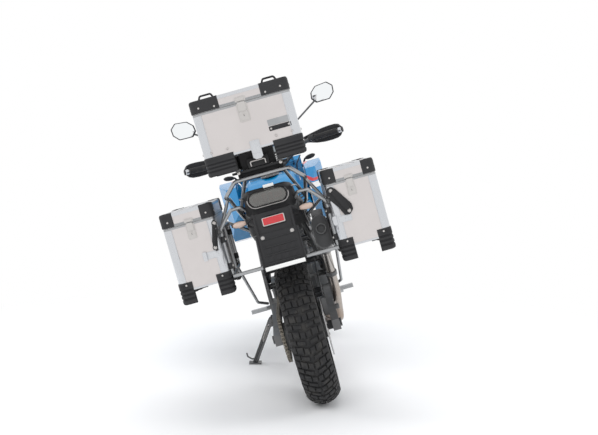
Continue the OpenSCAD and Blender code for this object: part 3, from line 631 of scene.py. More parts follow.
def copies(name, body, part, spots, finish, size=1.0, jitter=0.0, replaces=(), sharp=32):
    """Copies of a Shape at spots of (point, turn matrix) in the bike's millimetres."""
    source = bpy.data.meshes.new(name + "_part")
    source.from_pydata([tuple(Vector(v) * 0.001) for v in part.verts], [], part.faces)
    holder = bpy.data.objects.new(name + "_part", source)
    bpy.context.scene.collection.objects.link(holder)
    mesh = bpy.data.meshes.new(name)
    mesh.from_pydata([tuple(TO_ROW @ Vector(p)) for p, turn in spots], [], [])
    lean = Matrix.Rotation(-LEAN, 3, "Y")
    turns = [c for p, turn in spots for c in (lean @ turn).to_euler()]
    mesh.attributes.new("turn", "FLOAT_VECTOR", "POINT").data.foreach_set("vector", turns)
    piece = bpy.data.objects.new(name, mesh)
    bpy.context.scene.collection.objects.link(piece)
    repeat = piece.modifiers.new("copies", "NODES")
    repeat.node_group = COPIES
    given = {"Part": holder, "Finish": FINISH[finish], "Size": size, "Size Jitter": jitter, "Seed": 7}
    for item in COPIES.interface.items_tree:
        if item.in_out == "INPUT" and item.name in given:
            repeat[item.identifier] = given[item.name]
    bake(piece)
    soften(piece.data, sharp)
    bpy.data.objects.remove(holder)
    ride_on(piece, body, replaces, finish)
    return piece


def rivet_part(d=9.0, high=3.0):
    part = Shape("rivet")
    profile = [(0, -0.5), (d / 2, -0.5), (d / 2, 0.5), (d * 0.42, high * 0.62), (d * 0.25, high * 0.93),
               (0, high)]
    return part.turned(profile, (0, 0, 0), (0, 0, 1), 14)


print(COPIES.name, "ready")

# %% [markdown]
# ## Aluminium cases
# The top box and the two side cases are folded sheet with extruded corner posts, a ribbed seam
# band, a rim round the lid, moulded corner guards and lever latches. The guards are skins bent
# round the case's corner, so their edge follows the sheet.

# %% Corner maths and case trim
TOP_BOX = {"name": "top_box", "place": Matrix.Translation((0, -125, 1140)), "w": 394, "l": 390, "h": 191,
           "lid": 49}
PANNIERS = [{"name": "pannier_" + word, "place": Matrix.Translation((338.5 * side, -30, 660)), "side": side,
             "w": 213, "l": 440, "h": 266, "lid": 56} for word, side in (("right", 1), ("left", -1))]
CORNER = 20


def corner_point(case, sx, sy, s):
    """A point and outward normal on the case's outline, s millimetres from the corner's middle:
    negative along the front or rear face, positive along the side."""
    w, l, half = case["w"] / 2, case["l"] / 2, CORNER * math.pi / 4
    if s < -half:
        return Vector((sx * (w - CORNER + s + half), sy * l, 0)), Vector((0, sy, 0))
    if s > half:
        return Vector((sx * w, sy * (l - CORNER - s + half), 0)), Vector((sx, 0, 0))
    turn = math.pi / 4 + s / CORNER
    out = Vector((sx * math.sin(turn), sy * math.cos(turn), 0))
    return Vector((sx * (w - CORNER), sy * (l - CORNER), 0)) + out * CORNER, out


def corner_skin(shape, case, sx, sy, start, end, section, finish=0):
    """A moulded piece bent round a corner: section(thickness) gives its (out, up) points."""
    half = CORNER * math.pi / 4
    stops = [start, start + 1.2, start + 3] + [-half + half * k / 4 for k in range(9)] + [end - 3, end - 1.2,
                                                                                          end]
    swell = [0.3, 0.8] + [1.0] * (len(stops) - 4) + [0.8, 0.3]
    rings = []
    for s, share in zip(stops, swell):
        p, out = corner_point(case, sx, sy, s)
        rings.append([p + out * (o * share if o > 0 else o) + Vector((0, 0, z)) for o, z in section])
    shape.rings(rings, finish)


def around(case, grow=0.0):
    """The case's outline as a closed level path."""
    w, l, r = case["w"] / 2 + grow, case["l"] / 2 + grow, CORNER + grow
    middles = [(w - r, l - r, 0), (-w + r, l - r, 90), (-w + r, -l + r, 180), (w - r, -l + r, 270)]
    return [Vector((x + r * math.cos(math.radians(a + t)), y + r * math.sin(math.radians(a + t)), 0))
            for x, y, a in middles for t in range(0, 91, 15)]


def at_height(points, z):
    return [p + Vector((0, 0, z)) for p in points]


def ribbed(out, low, high, count, deep):
    """The ribbed outer side of a section, from low to high."""
    step = (high - low) / count
    made = []
    for k in range(count):
        z = low + step * k
        made += [(out, z + step * 0.12), (out, z + step * 0.6), (out - deep, z + step * 0.72),
                 (out - deep, z + step)]
    return made[:-2]


def lid_guard(top, low, t=4.5):
    return [(-0.4, low), (t - 1.5, low), (t, low + 1.6)] + \
        [(t, top - 6), (t - 1.2, top - 1), (t - 4.2, top + 3), (-16, top + 3.4), (-17.5, top + 1.6),
         (-16, top - 0.4),
         (-0.4, top - 0.4)]


def foot_guard(low, high, ribs, t=5.0):
    side = ribbed(t, low + 8, high - 12, ribs, 2.2)
    return [(-15, low + 1), (t - 7, low), (t - 2, low + 3)] + side + [(t, high - 9), (t, high - 1.8),
                                                                      (t - 1.6, high),
                                                                    (-0.4, high), (-0.4, -0.6), (-16, -0.6)]


def case_trim(case, top_span, foot_span, foot_low, foot_high, foot_ribs):
    """Posts, bands, rims and guards of one case: the fixed half, then the lid's half."""
    h, top = case["h"], case["h"] + 1 + case["lid"]
    fixed = Shape(case["name"] + "_trim", "bright_aluminium", "black_plastic", "rack_steel", "zinc_steel",
                  place=case["place"])
    lid = Shape(case["name"] + "_lid_trim", "bright_aluminium", "black_plastic", "rack_steel", "zinc_steel",
                place=case["place"])
    corners = [(sx, sy) for sx in (1, -1) for sy in (1, -1)]
    half = CORNER * math.pi / 4
    for sx, sy in corners:
        post = [(-0.3, 6), (1.3, 6), (1.6, 6.6), (1.6, h - 9), (1.3, h - 8.4), (-0.3, h - 8.4)]
        corner_skin(fixed, case, sx, sy, -half - 13, half + 13, post)
        for s in (-half - 12, half + 12):
            p, out = corner_point(case, sx, sy, s)
            fixed.rod(p + out * 1.2 + Vector((0, 0, 7)), p + out * 1.2 + Vector((0, 0, h - 9)), 3.4, 0.5, 0,
                      10)
        corner_skin(lid, case, sx, sy, -top_span, 52, lid_guard(top, h + 2.5), 1)
        corner_skin(fixed, case, sx, sy, -foot_span, 62, foot_guard(foot_low, foot_high, foot_ribs), 1)
        inner_x, inner_y = sx * (case["w"] / 2 - 3), sy * (case["l"] / 2 - 3)
        cap = [(inner_x, inner_y), (inner_x, inner_y - sy * 58), (inner_x - sx * 26, inner_y - sy * 58),
               (inner_x - sx * (top_span - 14), inner_y - sy * 26), (inner_x - sx * (top_span - 14),
                                                                     inner_y)]
        lid.prism(rounded(cap, 12), "z", top - 0.6, top + 3.6, 1.8, 1)
        foot = [(inner_x, inner_y), (inner_x, inner_y - sy * 56), (inner_x - sx * 30, inner_y - sy * 56),
                (inner_x - sx * (foot_span - 16), inner_y - sy * 30), (inner_x - sx * (foot_span - 16),
                                                                       inner_y)]
        fixed.prism(rounded(foot, 12), "z", -0.5, foot_low + 2, 4, 1)
    band = [(-0.4, 0), (1.4, 0.2), (1.8, 0.8), (1.8, 3), (1.0, 3.6), (1.0, 4.2), (1.8, 4.8), (1.8, 7.2),
            (1.0, 7.8),
            (1.0, 8.4), (1.8, 9), (1.8, 10.6), (1.4, 11.4), (-0.4, 11.6)]
    lid.sweep(at_height(around(case), h + 1.2), band, 2)
    lip = [(-0.4, 0), (1.2, 0.2), (1.6, 0.8), (1.6, 6.4), (1.2, 7.2), (-0.4, 7.4)]
    fixed.sweep(at_height(around(case), h - 7.9), lip, 2)
    rim = [(-0.3, -13), (1.0, -13), (1.5, -12.2), (1.5, -4), (0.6, -1), (-2, 1.4), (-5, 2), (-13, 2),
           (-14, 1.2), (-14, -0.3),
           (-0.3, -0.3)]
    lid.sweep(at_height(around(case), top), rim, 0)
    hem = [(-0.3, 0), (1.0, 0.2), (1.2, 1), (1.2, 7), (0.9, 8), (-0.3, 8.2)]
    fixed.sweep(at_height(around(case), 0.2), hem, 0)
    for k in (-1, 0, 1):
        panel = (case["w"] - 2 * top_span * 0.35) / 3.4
        x = k * panel
        reach = case["l"] / 2 - 74
        lid.prism(plate(x - panel * 0.32, -reach, x + panel * 0.32, reach, 12), "z", top - 0.5, top + 2.2,
                  1.2)
    return fixed, lid


def lever_latch(fixed, lid, place, w, down, up):
    """A lever latch on the rear face: keeper on the lid, lever, hinge and key lock on the body.
    place takes (across, out, up) to the case, with zero at the seam."""
    def leaf(shape, low, high, out_low, out_high, r=1.2, width=w):
        shape.place, keep = shape.place @ place, shape.place
        shape.prism(plate(-width / 2, low, width / 2, high, 5), "y", -out_low, -out_high, r, 3)
        shape.place = keep
    leaf(lid, 4, up, 1.0, 4.0)
    leaf(lid, 6, up - 5, 3.8, 9.5, width=w * 0.72, r=2.2)
    leaf(fixed, -down, -2, 0.0, 2.6)
    leaf(fixed, -down + 5, -3, 2.4, 7.0, width=w * 0.82, r=1.8)
    leaf(fixed, -down * 0.45, 2.5, 6.6, 10.5, width=w * 0.74, r=1.6)
    for shape, half, out, z, d in ((fixed, w * 0.42, -5.5, -down * 0.46, 6.5), (lid, w * 0.34, -6.5, up - 6,
                                                                                6.0)):
        keep = shape.place
        shape.place = keep @ place
        shape.rod((-half, out, z), (half, out, z), d, 1.0, 3, 16)
        shape.place = keep
    keep = fixed.place
    fixed.place = keep @ place
    key = Vector((0, -6.8, -down * 0.68))
    ring = [(0, 0), (8.6, 0), (8.6, 1.8), (7.6, 2.6), (6.2, 2.6), (6.0, 1.6), (0, 1.6)]
    fixed.turned(ring, key, (0, -1, 0), 28, 3)
    fixed.box(key + Vector((-0.9, -2.4, -4)), key + Vector((0.9, -1.4, 4)), 0.3, 1)
    fixed.place = keep


def rear_face(case, x, z):
    """(across, out, up) at a point of the rear face; minus out points backwards."""
    return Matrix.Translation((x, -case["l"] / 2, z))


print("cases", TOP_BOX["name"], [c["name"] for c in PANNIERS])

# %% Top box
box_trim, box_lid = case_trim(TOP_BOX, 108, 112, -62, 14, 4)
lever_latch(box_trim, box_lid, rear_face(TOP_BOX, 0, 191), 44, 76, 24)
keep = box_trim.place
box_trim.place = keep @ rear_face(TOP_BOX, 10, 0)
box_trim.prism(plate(-20, -34, 20, 36, 5), "y", -1.2, -4.4, 1.2)
box_trim.prism(plate(-16, -12, 16, 31, 4), "y", -4.2, -8.6, 1.6)
box_trim.rod((-17, -6.5, -13), (17, -6.5, -13), 6.5, 1.0, 0, 16)
box_trim.turned([(0, 0), (8, 0), (8, 1.6), (6.8, 2.4), (5.6, 2.4), (5.4, 1.4), (0, 1.4)], (0, -8.4, 12),
                (0, -1, 0), 24, 0)
box_trim.prism(plate(-13, -40, 13, -10, 4), "y", -1.0, -7.5, 1.6)
box_trim.box((-16, 0, -36), (16, 46, -26), 1.5)
box_trim.place = keep @ rear_face(TOP_BOX, 124, 70)
box_trim.prism(plate(-44, 2, 44, 27, 3), "y", 0.2, -1.6, 0.6, 2)
box_trim.prism(plate(-44, -18, 46, 0, 3), "y", 0.2, -1.8, 0.6, 1)
box_trim.place = keep
for sx in (1, -1):
    for sy in (1, -1):
        y = sy * 186
        loop = [(sx * 158, y, 240), (sx * 150, y, 257), (sx * 106, y, 257), (sx * 98, y, 240)]
        box_lid.tube(loop, 9, 8, 1, 12, flat=0.8)
make(box_trim, "chassis", slot="bare_aluminium")
make(box_lid, "top_box_lid", slot="bare_aluminium")

# %% Side cases
for case in PANNIERS:
    side = case["side"]
    trim, lid = case_trim(case, 46, 52, -54, 36, 4)
    lever_latch(trim, lid, rear_face(case, -side * 4, case["h"]), 36, 66, 20)
    keep = trim.place
    across = rear_face(case, -side * 66, 118) @ Matrix.Rotation(math.radians(90), 4, "Y")
    trim.place = keep @ across
    trim.prism(plate(-15, -46, 15, 34, 4), "y", 0.2, -2.6, 1.0)
    trim.prism(plate(-12, -20, 12, 30, 4), "y", -2.4, -7.0, 1.6)
    trim.turned([(0, 0), (7.6, 0), (7.6, 1.6), (6.4, 2.4), (5.4, 2.4), (5.2, 1.4), (0, 1.4)], (0, -6.8, 14),
                (0, -1, 0), 24)
    trim.prism(plate(-19, -44, 19, -28, 3), "y", -2.0, -10.0, 1.6)
    trim.place = keep
    lid_body = "pannier_lid_right" if side > 0 else "pannier_lid_left"
    make(trim, "chassis", slot="bare_aluminium")
    make(lid, lid_body, slot="bare_aluminium")

# %% Rivets of the cases
def face_spots(case, places, on_side=False):
    """Rivets at (distance from the middle, z, out) of the end faces, or of the side faces."""
    out = []
    for reach, z, lift in places:
        for sx in (1, -1):
            for sy in (1, -1):
                x, y, way = (sx * reach, sy * (case["l"] / 2 + lift), (0, sy, 0))
                if on_side:
                    x, y, way = (sx * (case["w"] / 2 + lift), sy * reach, (sx, 0, 0))
                out.append((case["place"] @ Vector((x, y, z)), turn_to(way)))
    return out


fixed_spots = face_spots(TOP_BOX, [(100, 31, 4.6), (165, 31, 4.6)]) + face_spots(TOP_BOX, [(152, 31, 4.6)],
                                                                                 True)
lid_spots = face_spots(TOP_BOX, [(104, 205, 4.2), (166, 212, 4.2)]) + face_spots(TOP_BOX, [(160, 212, 4.2)],
                                                                                 True)
for x in (88, 160):
    fixed_spots.append((TOP_BOX["place"] @ Vector((x, -196.6, 61)), turn_to((0, -1, 0))))
copies("top_box_lid_rivets", "top_box_lid", rivet_part(), lid_spots, "zinc_steel")
for case in PANNIERS:
    fixed_spots += face_spots(case, [(76, 25, 4.6)]) + face_spots(case, [(178, 25, 4.6)], True)
    spots = face_spots(case, [(80, 290, 4.2)]) + face_spots(case, [(184, 290, 4.2)], True)
    body = "pannier_lid_right" if case["side"] > 0 else "pannier_lid_left"
    copies(body + "_rivets", body, rivet_part(), spots, "zinc_steel")
copies("case_rivets", "chassis", rivet_part(), fixed_spots, "zinc_steel")

# %% [markdown]
# ## Wheels
# Each wheel is cast: a turned rim and hub joined by tapered spokes. The tyre is a turned carcass,
# and one pitch of its tread is modelled and repeated round it. Discs get real drilled holes.

# %% Tyres and tread
REAR = {"name": "rear", "body": "rear_wheel_set", "at": Vector((0, 0, 324.246)), "r": 321, "w": 150,
        "crown": 86,
        "rim": 216, "seat": 104, "pitches": 30}
FRONT = {"name": "front", "body": "front_wheel_set", "at": Vector((0, 1520, 331.265)), "r": 329, "w": 110,
         "crown": 60,
         "rim": 241, "seat": 70, "pitches": 34}
TREAD = 7.5
SPOKES = 5
CHAIN_PITCH = 15.875
REAR_AXLE = (0, 324.246)
FRONT_SPROCKET = (650, 397)
SPROCKET_FACE = -107.5


def crown_point(wheel, across, lift):
    """Radius and x at a distance across the tread, lift millimetres under the crown."""
    turn = across / wheel["crown"]
    r = wheel["crown"] - lift
    return wheel["r"] - wheel["crown"] + r * math.cos(turn), r * math.sin(turn)


def tyre_carcass(wheel):
    half, rim, seat = wheel["w"] / 2, wheel["rim"], wheel["seat"] / 2
    reach = math.asin(min(0.98, half / wheel["crown"])) * wheel["crown"]
    over = [crown_point(wheel, reach * k / 12, TREAD if abs(k) < 11 else 3) for k in range(-12, 13)]
    r_side = over[0][0]
    low = rim + 16
    bulge = [(r_side - 8, half - 1), (r_side - 10, half - 2.2), (r_side - 14, half - 1.2),
             (r_side - 24, half - 2.5),
             ((r_side + low) / 2, half - 6), (low + 8, half - 13), (low + 6, half - 15), (low, seat + 6),
             (rim + 13, seat + 1.5), (rim + 12.4, seat - 0.3), (rim + 0.3, seat - 0.3)]
    profile = over + bulge + [(r, -x) for r, x in bulge[::-1]]
    shape = Shape(wheel["name"] + "_tyre_carcass", "tyre_rubber")
    shape.turned(profile, wheel["at"], (1, 0, 0), 96, 0, closed=True)
    return make(shape, wheel["body"], [wheel["name"] + "_tyre"], "tyre_rubber", sharp=28)


def tread_block(shape, wheel, x0, x1, y0, y1, skew=0.0, cut=0.0):
    """One rubber block between two distances across and two along the tread."""
    steps = 3
    def ring(lift, inset):
        low, high = x0 + inset, x1 - inset
        xs = [low + (high - low) * k / steps for k in range(steps + 1)]
        path = [(x, y0 + inset + skew * (x - x0)) for x in xs]
        path += [(x, y1 - inset + skew * (x - x0) - (cut if x == xs[-1] else 0)) for x in xs[::-1]]
        made = []
        for x, y in path:
            r, side = crown_point(wheel, x, lift)
            t = y / wheel["r"]
            made.append((side, r * math.sin(t), r * math.cos(t)))
        return made
    rings = [ring(TREAD + 1, -0.6), ring(1.2, 0.7), ring(0.0, 1.9)]
    shape.rings(rings)


def tread(wheel):
    pitch = 2 * math.pi * wheel["r"] / wheel["pitches"]
    reach = math.asin(min(0.98, wheel["w"] / 2 / wheel["crown"])) * wheel["crown"]
    part = Shape("tread_pitch")
    c, m = reach * 0.25, reach * 0.62
    for side in (1, -1):
        def block(x0, x1, y0, y1, skew, cut=0.0):
            a, b = sorted((side * x0, side * x1))
            shift = skew * (x1 - x0) if side < 0 else 0
            tread_block(part, wheel, a, b, y0 + shift, y1 + shift, skew * side, cut if side > 0 else 0)
        block(2.0, c, 0, pitch * 0.40, 0.25)
        block(c + 4, m, pitch * 0.08, pitch * 0.52, 0.22, 3)
        block(m + 4, reach - 1, pitch * 0.16, pitch * 0.60, 0.1, 4)
        block(c * 0.4, m * 0.80, pitch * 0.60, pitch * 0.86, 0.22)
        block(m * 0.80 + 5, reach - 7, pitch * 0.72, pitch * 1.02, 0.1)
    spots = [(wheel["at"], Matrix.Rotation(2 * math.pi * k / wheel["pitches"], 3, "X"))
             for k in range(wheel["pitches"])]
    copies(wheel["name"] + "_tread", wheel["body"], part, spots, "tyre_rubber")


for wheel in (REAR, FRONT):
    tyre_carcass(wheel)
    tread(wheel)

# %% Rims, hubs and spokes
def wheel_cast(wheel, hub_r, hub_half, root_w, tip_w, bore):
    rim, half = wheel["rim"], wheel["seat"] / 2 + 6
    shape = Shape(wheel["name"] + "_wheel_cast", "wheel_alloy", "zinc_steel")
    drop = [(rim + 12, half - 0.6), (rim + 11.4, half), (rim + 2, half), (rim - 8, half - 2),
            (rim - 14, half - 10),
            (rim - 22, 20), (rim - 25, 8), (rim - 25, 0)]
    inner = [(rim - 16, 0), (rim - 16, 8), (rim - 12, 22), (rim - 3, half - 18), (rim, half - 7),
             (rim + 11, half - 6.4)]
    profile = drop + [(r, -x) for r, x in drop[-2::-1]] + [(r, -x) for r, x in inner[::-1]] + inner[1:]
    shape.turned(profile, wheel["at"], (1, 0, 0), 96, 0, closed=True)
    hub = [(bore, -hub_half), (hub_r - 12, -hub_half), (hub_r - 10, -hub_half + 2),
           (hub_r - 10, -hub_half + 10),
           (hub_r, -hub_half + 14), (hub_r - 2, -hub_half + 22), (hub_r - 8, 0), (hub_r - 2, hub_half - 22),
           (hub_r, hub_half - 14), (hub_r - 10, hub_half - 10), (hub_r - 10, hub_half - 2), (hub_r - 12,
                                                                                             hub_half),
           (bore, hub_half)]
    shape.turned(hub, wheel["at"], (1, 0, 0), 64, 0, closed=True)
    for k in range(SPOKES):
        turn = Matrix.Translation(wheel["at"]) @ Matrix.Rotation(2 * math.pi * k / SPOKES, 4, "X")
        keep = shape.place
        shape.place = keep @ turn
        rings = []
        stops = 9
        for i in range(stops + 1):
            t = i / stops
            r = hub_r - 14 + (rim - 21 - hub_r + 14) * t
            w = root_w + (tip_w - root_w) * t + 16 * max(0, t - 0.8) / 0.2 + 10 * max(0, 0.15 - t) / 0.15
            d = 34 - 10 * t + 8 * max(0, t - 0.85) / 0.15
            flat = plate(-w / 2, -d / 2, w / 2, d / 2, 6, 4)
            rings.append([(v, u, r) for u, v in flat])
        shape.rings(rings)
        for side in (1, -1):
            slot = rounded([(-6, hub_r + 18), (6, hub_r + 18), (4, rim - 46), (-4, rim - 46)], 4, 3)
            shape.prism([(u, v) for u, v in slot], "x", side * 12.5, side * 16.6, 1.0)
        shape.place = keep
    valve = wheel["at"] + Vector((8, 28, rim - 34))
    shape.rod(valve, valve + Vector((0, 0, 26)), 8, 1.5, 1, 14)
    return shape


rear_cast = wheel_cast(REAR, 46, 70, 42, 26, 12.5)
spread = [(12.5, 0), (60, 0), (62, 2), (62, 24), (52, 30), (12.5, 30)]
rear_cast.turned(spread, REAR["at"] + Vector((-100, 0, 0)), (1, 0, 0), 64, 0, closed=True)
rear_cast.turned([(12.5, 0), (50, 0), (50, 12), (48, 14), (12.5, 14)], REAR["at"] + Vector((70, 0, 0)),
                 (1, 0, 0), 64, 0,
                 closed=True)
make(rear_cast, "rear_wheel_set", ["rear_wheel"], "wheel_alloy")
front_cast = wheel_cast(FRONT, 44, 50, 36, 22, 10.5)
for side in (1, -1):
    front_cast.turned([(10.5, 0), (34, 0), (34, 12.5), (32, 14), (10.5, 14)],
                      FRONT["at"] + Vector((side * 50, 0, 0)),
                      (side, 0, 0), 48, 0, closed=True)
make(front_cast, "front_wheel_set", ["front_wheel"], "wheel_alloy")

# %% Brake discs with drilled holes
def drilled_disc(name, wheel, r, from_x, thick, inner_r, holes, node, hub_to):
    """A drilled ring on a dark carrier; the holes are cut with a Boolean modifier."""
    ring = Shape(name, "disc_steel")
    at = wheel["at"] + Vector((from_x, 0, 0))
    profile = [(inner_r, 0), (r - 0.6, 0), (r, 0.6), (r, thick - 0.6), (r - 0.6, thick), (inner_r, thick)]
    ring.turned(profile, at, (1, 0, 0), 96, 0, closed=True)
    piece = make(ring, wheel["body"], (), "disc_steel", sharp=30)
    cutter = Shape(name + "_drill", "disc_steel")
    width = r - inner_r
    for k in range(holes):
        for row in range(3):
            t = 2 * math.pi * (k + row * 0.33) / holes
            reach = inner_r + width * (0.22 + 0.28 * row)
            p = at + Vector((-1, math.cos(t) * reach, math.sin(t) * reach))
            cutter.rod(p, p + Vector((thick + 2, 0, 0)), 7.5, 0.01, 0, 12)
    drill = make(cutter, wheel["body"])
    cut = piece.modifiers.new("holes", "BOOLEAN")
    cut.operation = "DIFFERENCE"
    cut.solver = "EXACT"
    cut.object = drill
    bake(piece)
    soften(piece.data, 30)
    bpy.data.objects.remove(drill)
    TRIANGLES.pop(name + "_drill")
    TRIANGLES[name] = sum(len(p.vertices) - 2 for p in piece.data.polygons)
    carrier = Shape(name + "_carrier", "wheel_alloy", "zinc_steel")
    plate = [(hub_to, 0.6), (inner_r - 4, 0.6), (inner_r - 2, 1.2), (inner_r - 2, thick - 1.2),
             (inner_r - 4, thick - 0.6),
             (hub_to, thick - 0.6)]
    carrier.turned(plate, at, (1, 0, 0), 72, 0, closed=True)
    for k in range(8):
        t = 2 * math.pi * k / 8
        p = at + Vector((-0.8, math.cos(t) * (inner_r - 1), math.sin(t) * (inner_r - 1)))
        carrier.rod(p, p + Vector((thick + 1.6, 0, 0)), 14, 1.2, 1, 18)
        q = at + Vector((0, math.cos(t + 0.3) * (hub_to + 12), math.sin(t + 0.3) * (hub_to + 12)))
        out = 1 if from_x > 0 else -1
        base = q + Vector((thick if out > 0 else 0, 0, 0))
        carrier.bolt(base, (out, 0, 0), 9, 4, 1)
    make(carrier, wheel["body"], [node] if node else (), "disc_steel")


drilled_disc("rear_disc_ring", REAR, 130, 84, 5, 92, 18, "rear_disc", 30)
drilled_disc("front_disc_right", FRONT, 155, 64, 5, 112, 20, "front_discs", 26)
drilled_disc("front_disc_left", FRONT, 155, -69, 5, 112, 20, None, 26)

# %% Sprocket and chain
def toothed(shape, at, r, root, teeth, x0, x1):
    outline = []
    for k in range(teeth):
        for share, reach in ((0.0, root), (0.26, root), (0.42, r), (0.58, r), (0.74, root)):
            t = 2 * math.pi * (k + share) / teeth
            outline.append((at[0] + reach * math.cos(t), at[1] + reach * math.sin(t)))
    shape.prism(outline, "x", x0, x1, 1.0)


sprocket = Shape("rear_sprocket_toothed", "chain_steel", "zinc_steel", "dark_steel")
toothed(sprocket, REAR_AXLE, 97.8, 91, 44, SPROCKET_FACE, -100.6)
for k in range(6):
    t = 2 * math.pi * (k + 0.5) / 6
    sprocket.bolt((SPROCKET_FACE, 48 * math.cos(t), REAR_AXLE[1] + 48 * math.sin(t)), (-1, 0, 0), 11, 7, 1)
    a = 2 * math.pi * k / 6
    window = [(math.cos(a + s) * q, REAR_AXLE[1] + math.sin(a + s) * q) for s, q in
              ((-0.3, 66), (0, 64), (0.3, 66), (0.36, 82), (0, 85), (-0.36, 82))]
    sprocket.prism(rounded(window, 6), "x", -108.1, -107.2, 0.3, 2)
make(sprocket, "rear_wheel_set", ["rear_sprocket"], "chain_steel")


def chain_path():
    """The chain's centre line round both sprockets, in y and z."""
    (y0, z0, r0), (y1, z1, r1) = (*REAR_AXLE, 106.5), (*FRONT_SPROCKET, 45.5)
    gap = math.hypot(y1 - y0, z1 - z0)
    base = math.atan2(z1 - z0, y1 - y0)
    open_by = math.acos((r0 - r1) / gap)
    top, low = base + open_by, base - open_by
    points = [(y0 + r0 * math.cos(top + s), z0 + r0 * math.sin(top + s))
              for s in np.linspace(0, 2 * math.pi - 2 * open_by, 60)]
    points += [(y1 + r1 * math.cos(low + s), z1 + r1 * math.sin(low + s))
               for s in np.linspace(0, 2 * open_by, 40)]
    return np.array(points + [points[0]])


def even_points(path, count):
    run = np.concatenate([[0], np.cumsum(np.linalg.norm(np.diff(path, axis=0), axis=1))])
    at = np.linspace(0, run[-1], count + 1)[:-1]
    return [(float(np.interp(s, run, path[:, 0])), float(np.interp(s, run, path[:, 1]))) for s in at]


path = chain_path()
length = float(np.linalg.norm(np.diff(path, axis=0), axis=1).sum())
count = 2 * round(length / CHAIN_PITCH / 2)
pins = even_points(path, count)
pitch = length / count


def link(outer):
    """A link along X, its pins along Z."""
    part = Shape("link")
    half = pitch / 2
    y = 6.1 if outer else 3.9
    waist = []
    for side in (1, -1):
        waist += [(side * (half + 6.2 * math.cos(t)), side * 6.2 * math.sin(t)) for t in np.linspace(-1.3,
                                                                                                     1.3, 7)]
        waist += [(0, side * 4.2)]
    for lift in (y, -y):
        part.prism(waist, "z", lift - 0.9, lift + 0.9, 0.4)
    for side in (1, -1):
        if outer:
            part.rod((side * half, 0, -8), (side * half, 0, 8), 5, 0.5, 0, 10)
        else:
            part.rod((side * half, 0, -3), (side * half, 0, 3), 9.6, 0.3, 0, 14)
    return part


for name, start in (("chain_inner_links", 0), ("chain_outer_links", 1)):
    spots = []
    for k in range(start, count, 2):
        (ya, za), (yb, zb) = pins[k], pins[(k + 1) % count]
        middle = Vector((-104, (ya + yb) / 2, (za + zb) / 2))
        spots.append((middle, turn_to((-1, 0, 0), (0, yb - ya, zb - za))))
    copies(name, "chassis", link(start == 1), spots, "chain_steel",
           replaces=["drive_chain"] if start else ())
front_sprocket = Shape("front_sprocket", "chain_steel", "zinc_steel")
toothed(front_sprocket, FRONT_SPROCKET, 38.2, 33, 16, SPROCKET_FACE, -100.5)
front_sprocket.bolt((SPROCKET_FACE, *FRONT_SPROCKET), (-1, 0, 0), 30, 8, 1)
make(front_sprocket, "chassis")
print("chain of", count, "links")

# %% [markdown]
# ## Tail, lights and number plate holder
# The tail cover is a skin through rounded sections. The lamp is a smoked dome over a bowl and a
# red core, so its depth shows. The plate holder carries ribs, two screws and a blank white strip.

# %% Tail cover and lamp
def section(half, low, high, r, y, steps=5, taper=1.0):
    """A rounded rectangle across the bike at y."""
    ring = rounded([(-half, low), (half, low), (half * taper, high), (-half * taper, high)], r, steps)
    return [(u, y, v) for u, v in ring]


def stadium(w, h, steps=10):
    r = h / 2
    right = [(w / 2 - r + r * math.cos(t), r * math.sin(t)) for t in np.linspace(-math.pi / 2, math.pi / 2,
                                                                                 steps)]
    return right + [(-u, -v) for u, v in right]


def frame_at(point, tilt=0.0):
    """A place at a point, its Z leant towards the front by tilt degrees."""
    return Matrix.Translation(point) @ Matrix.Rotation(math.radians(-tilt), 4, "X")


tail = Shape("tail_cover_moulded", "black_plastic", "gloss_black")
rows = [(-257.5, 76, 914, 974, 20), (-252, 86, 905, 982, 24), (-236, 98, 895, 986, 26),
        (-200, 110, 882, 986, 28),
        (-100, 119, 848, 981, 28), (-64, 123, 838, 978, 28), (-34, 125, 830, 926, 24)]
tail.rings([section(h, a, b, r, y, 5, 0.86) for y, h, a, b, r in rows])
rows = [(-30, 126, 829, 866, 12), (60, 129, 803, 834, 12), (150, 133, 777, 808, 12), (328, 137, 739, 757, 7)]
tail.rings([section(h, a, b, r, y) for y, h, a, b, r in rows])
for side in (1, -1):
    strip = [(side * 100, -225, 962), (side * 119, -150, 960), (side * 125, -70, 955)]
    tail.tube(strip, 9, 30, 1, 10, flat=0.5)
make(tail, "chassis", ["tail_cover"], "black_plastic")

LAMP_W, LAMP_H = 164, 62
lamp_at = Matrix.Translation((0, 0, 945))
housing = Shape("tail_lamp_housing", "gloss_black", "zinc_steel", "tail_lens", "white_paint", place=lamp_at)
rim = [[(u * k, y, v * k) for u, v in stadium(LAMP_W, LAMP_H)] for k, y in
       ((1.0, -257), (1.03, -262), (1.03, -272), (0.985, -275), (0.95, -273), (0.94, -266))]
housing.rings(rim, 0)
bowl = [[(u, y, v) for u, v in stadium(w, h)] for w, h, y in ((150, 52, -266.5), (132, 40, -262.5),
                                                              (60, 20, -260))]
housing.rings(bowl, 1)
for x in (-13, 13):
    core = plate(x - 10, -17, x + 10, 17, 6)
    housing.prism(core, "y", -258, -274, 3.0, 2)
for x in (-44, 44):
    housing.prism([(x + u * 0.28, v * 0.5) for u, v in stadium(120, 44)], "y", -258, -270, 2.5, 2)
lower = [(u * 1.035, -266, v * 1.06) for u, v in stadium(LAMP_W, LAMP_H, 14) if v < 8]
lower.sort(key=lambda p: p[0])
housing.tube(lower, 5.5, 2, 1, 10)
housing.prism(plate(-8, 37, 36, 50, 3), "y", -250, -262, 1.5, 3)
make(housing, "chassis", slot="black_plastic")
glass = Shape("tail_lamp_lens", "smoked_lens", place=lamp_at)
dome = [(1.0, -268), (0.995, -274), (0.97, -279), (0.9, -282.6), (0.7, -284.6), (0.35, -285.6)]
outer = [[(u * k, y, v * k) for u, v in stadium(LAMP_W - 10, LAMP_H - 8, 12)] for k, y in dome]
glass.rings(outer)
make(glass, "chassis", ["tail_light"], "tail_lens")

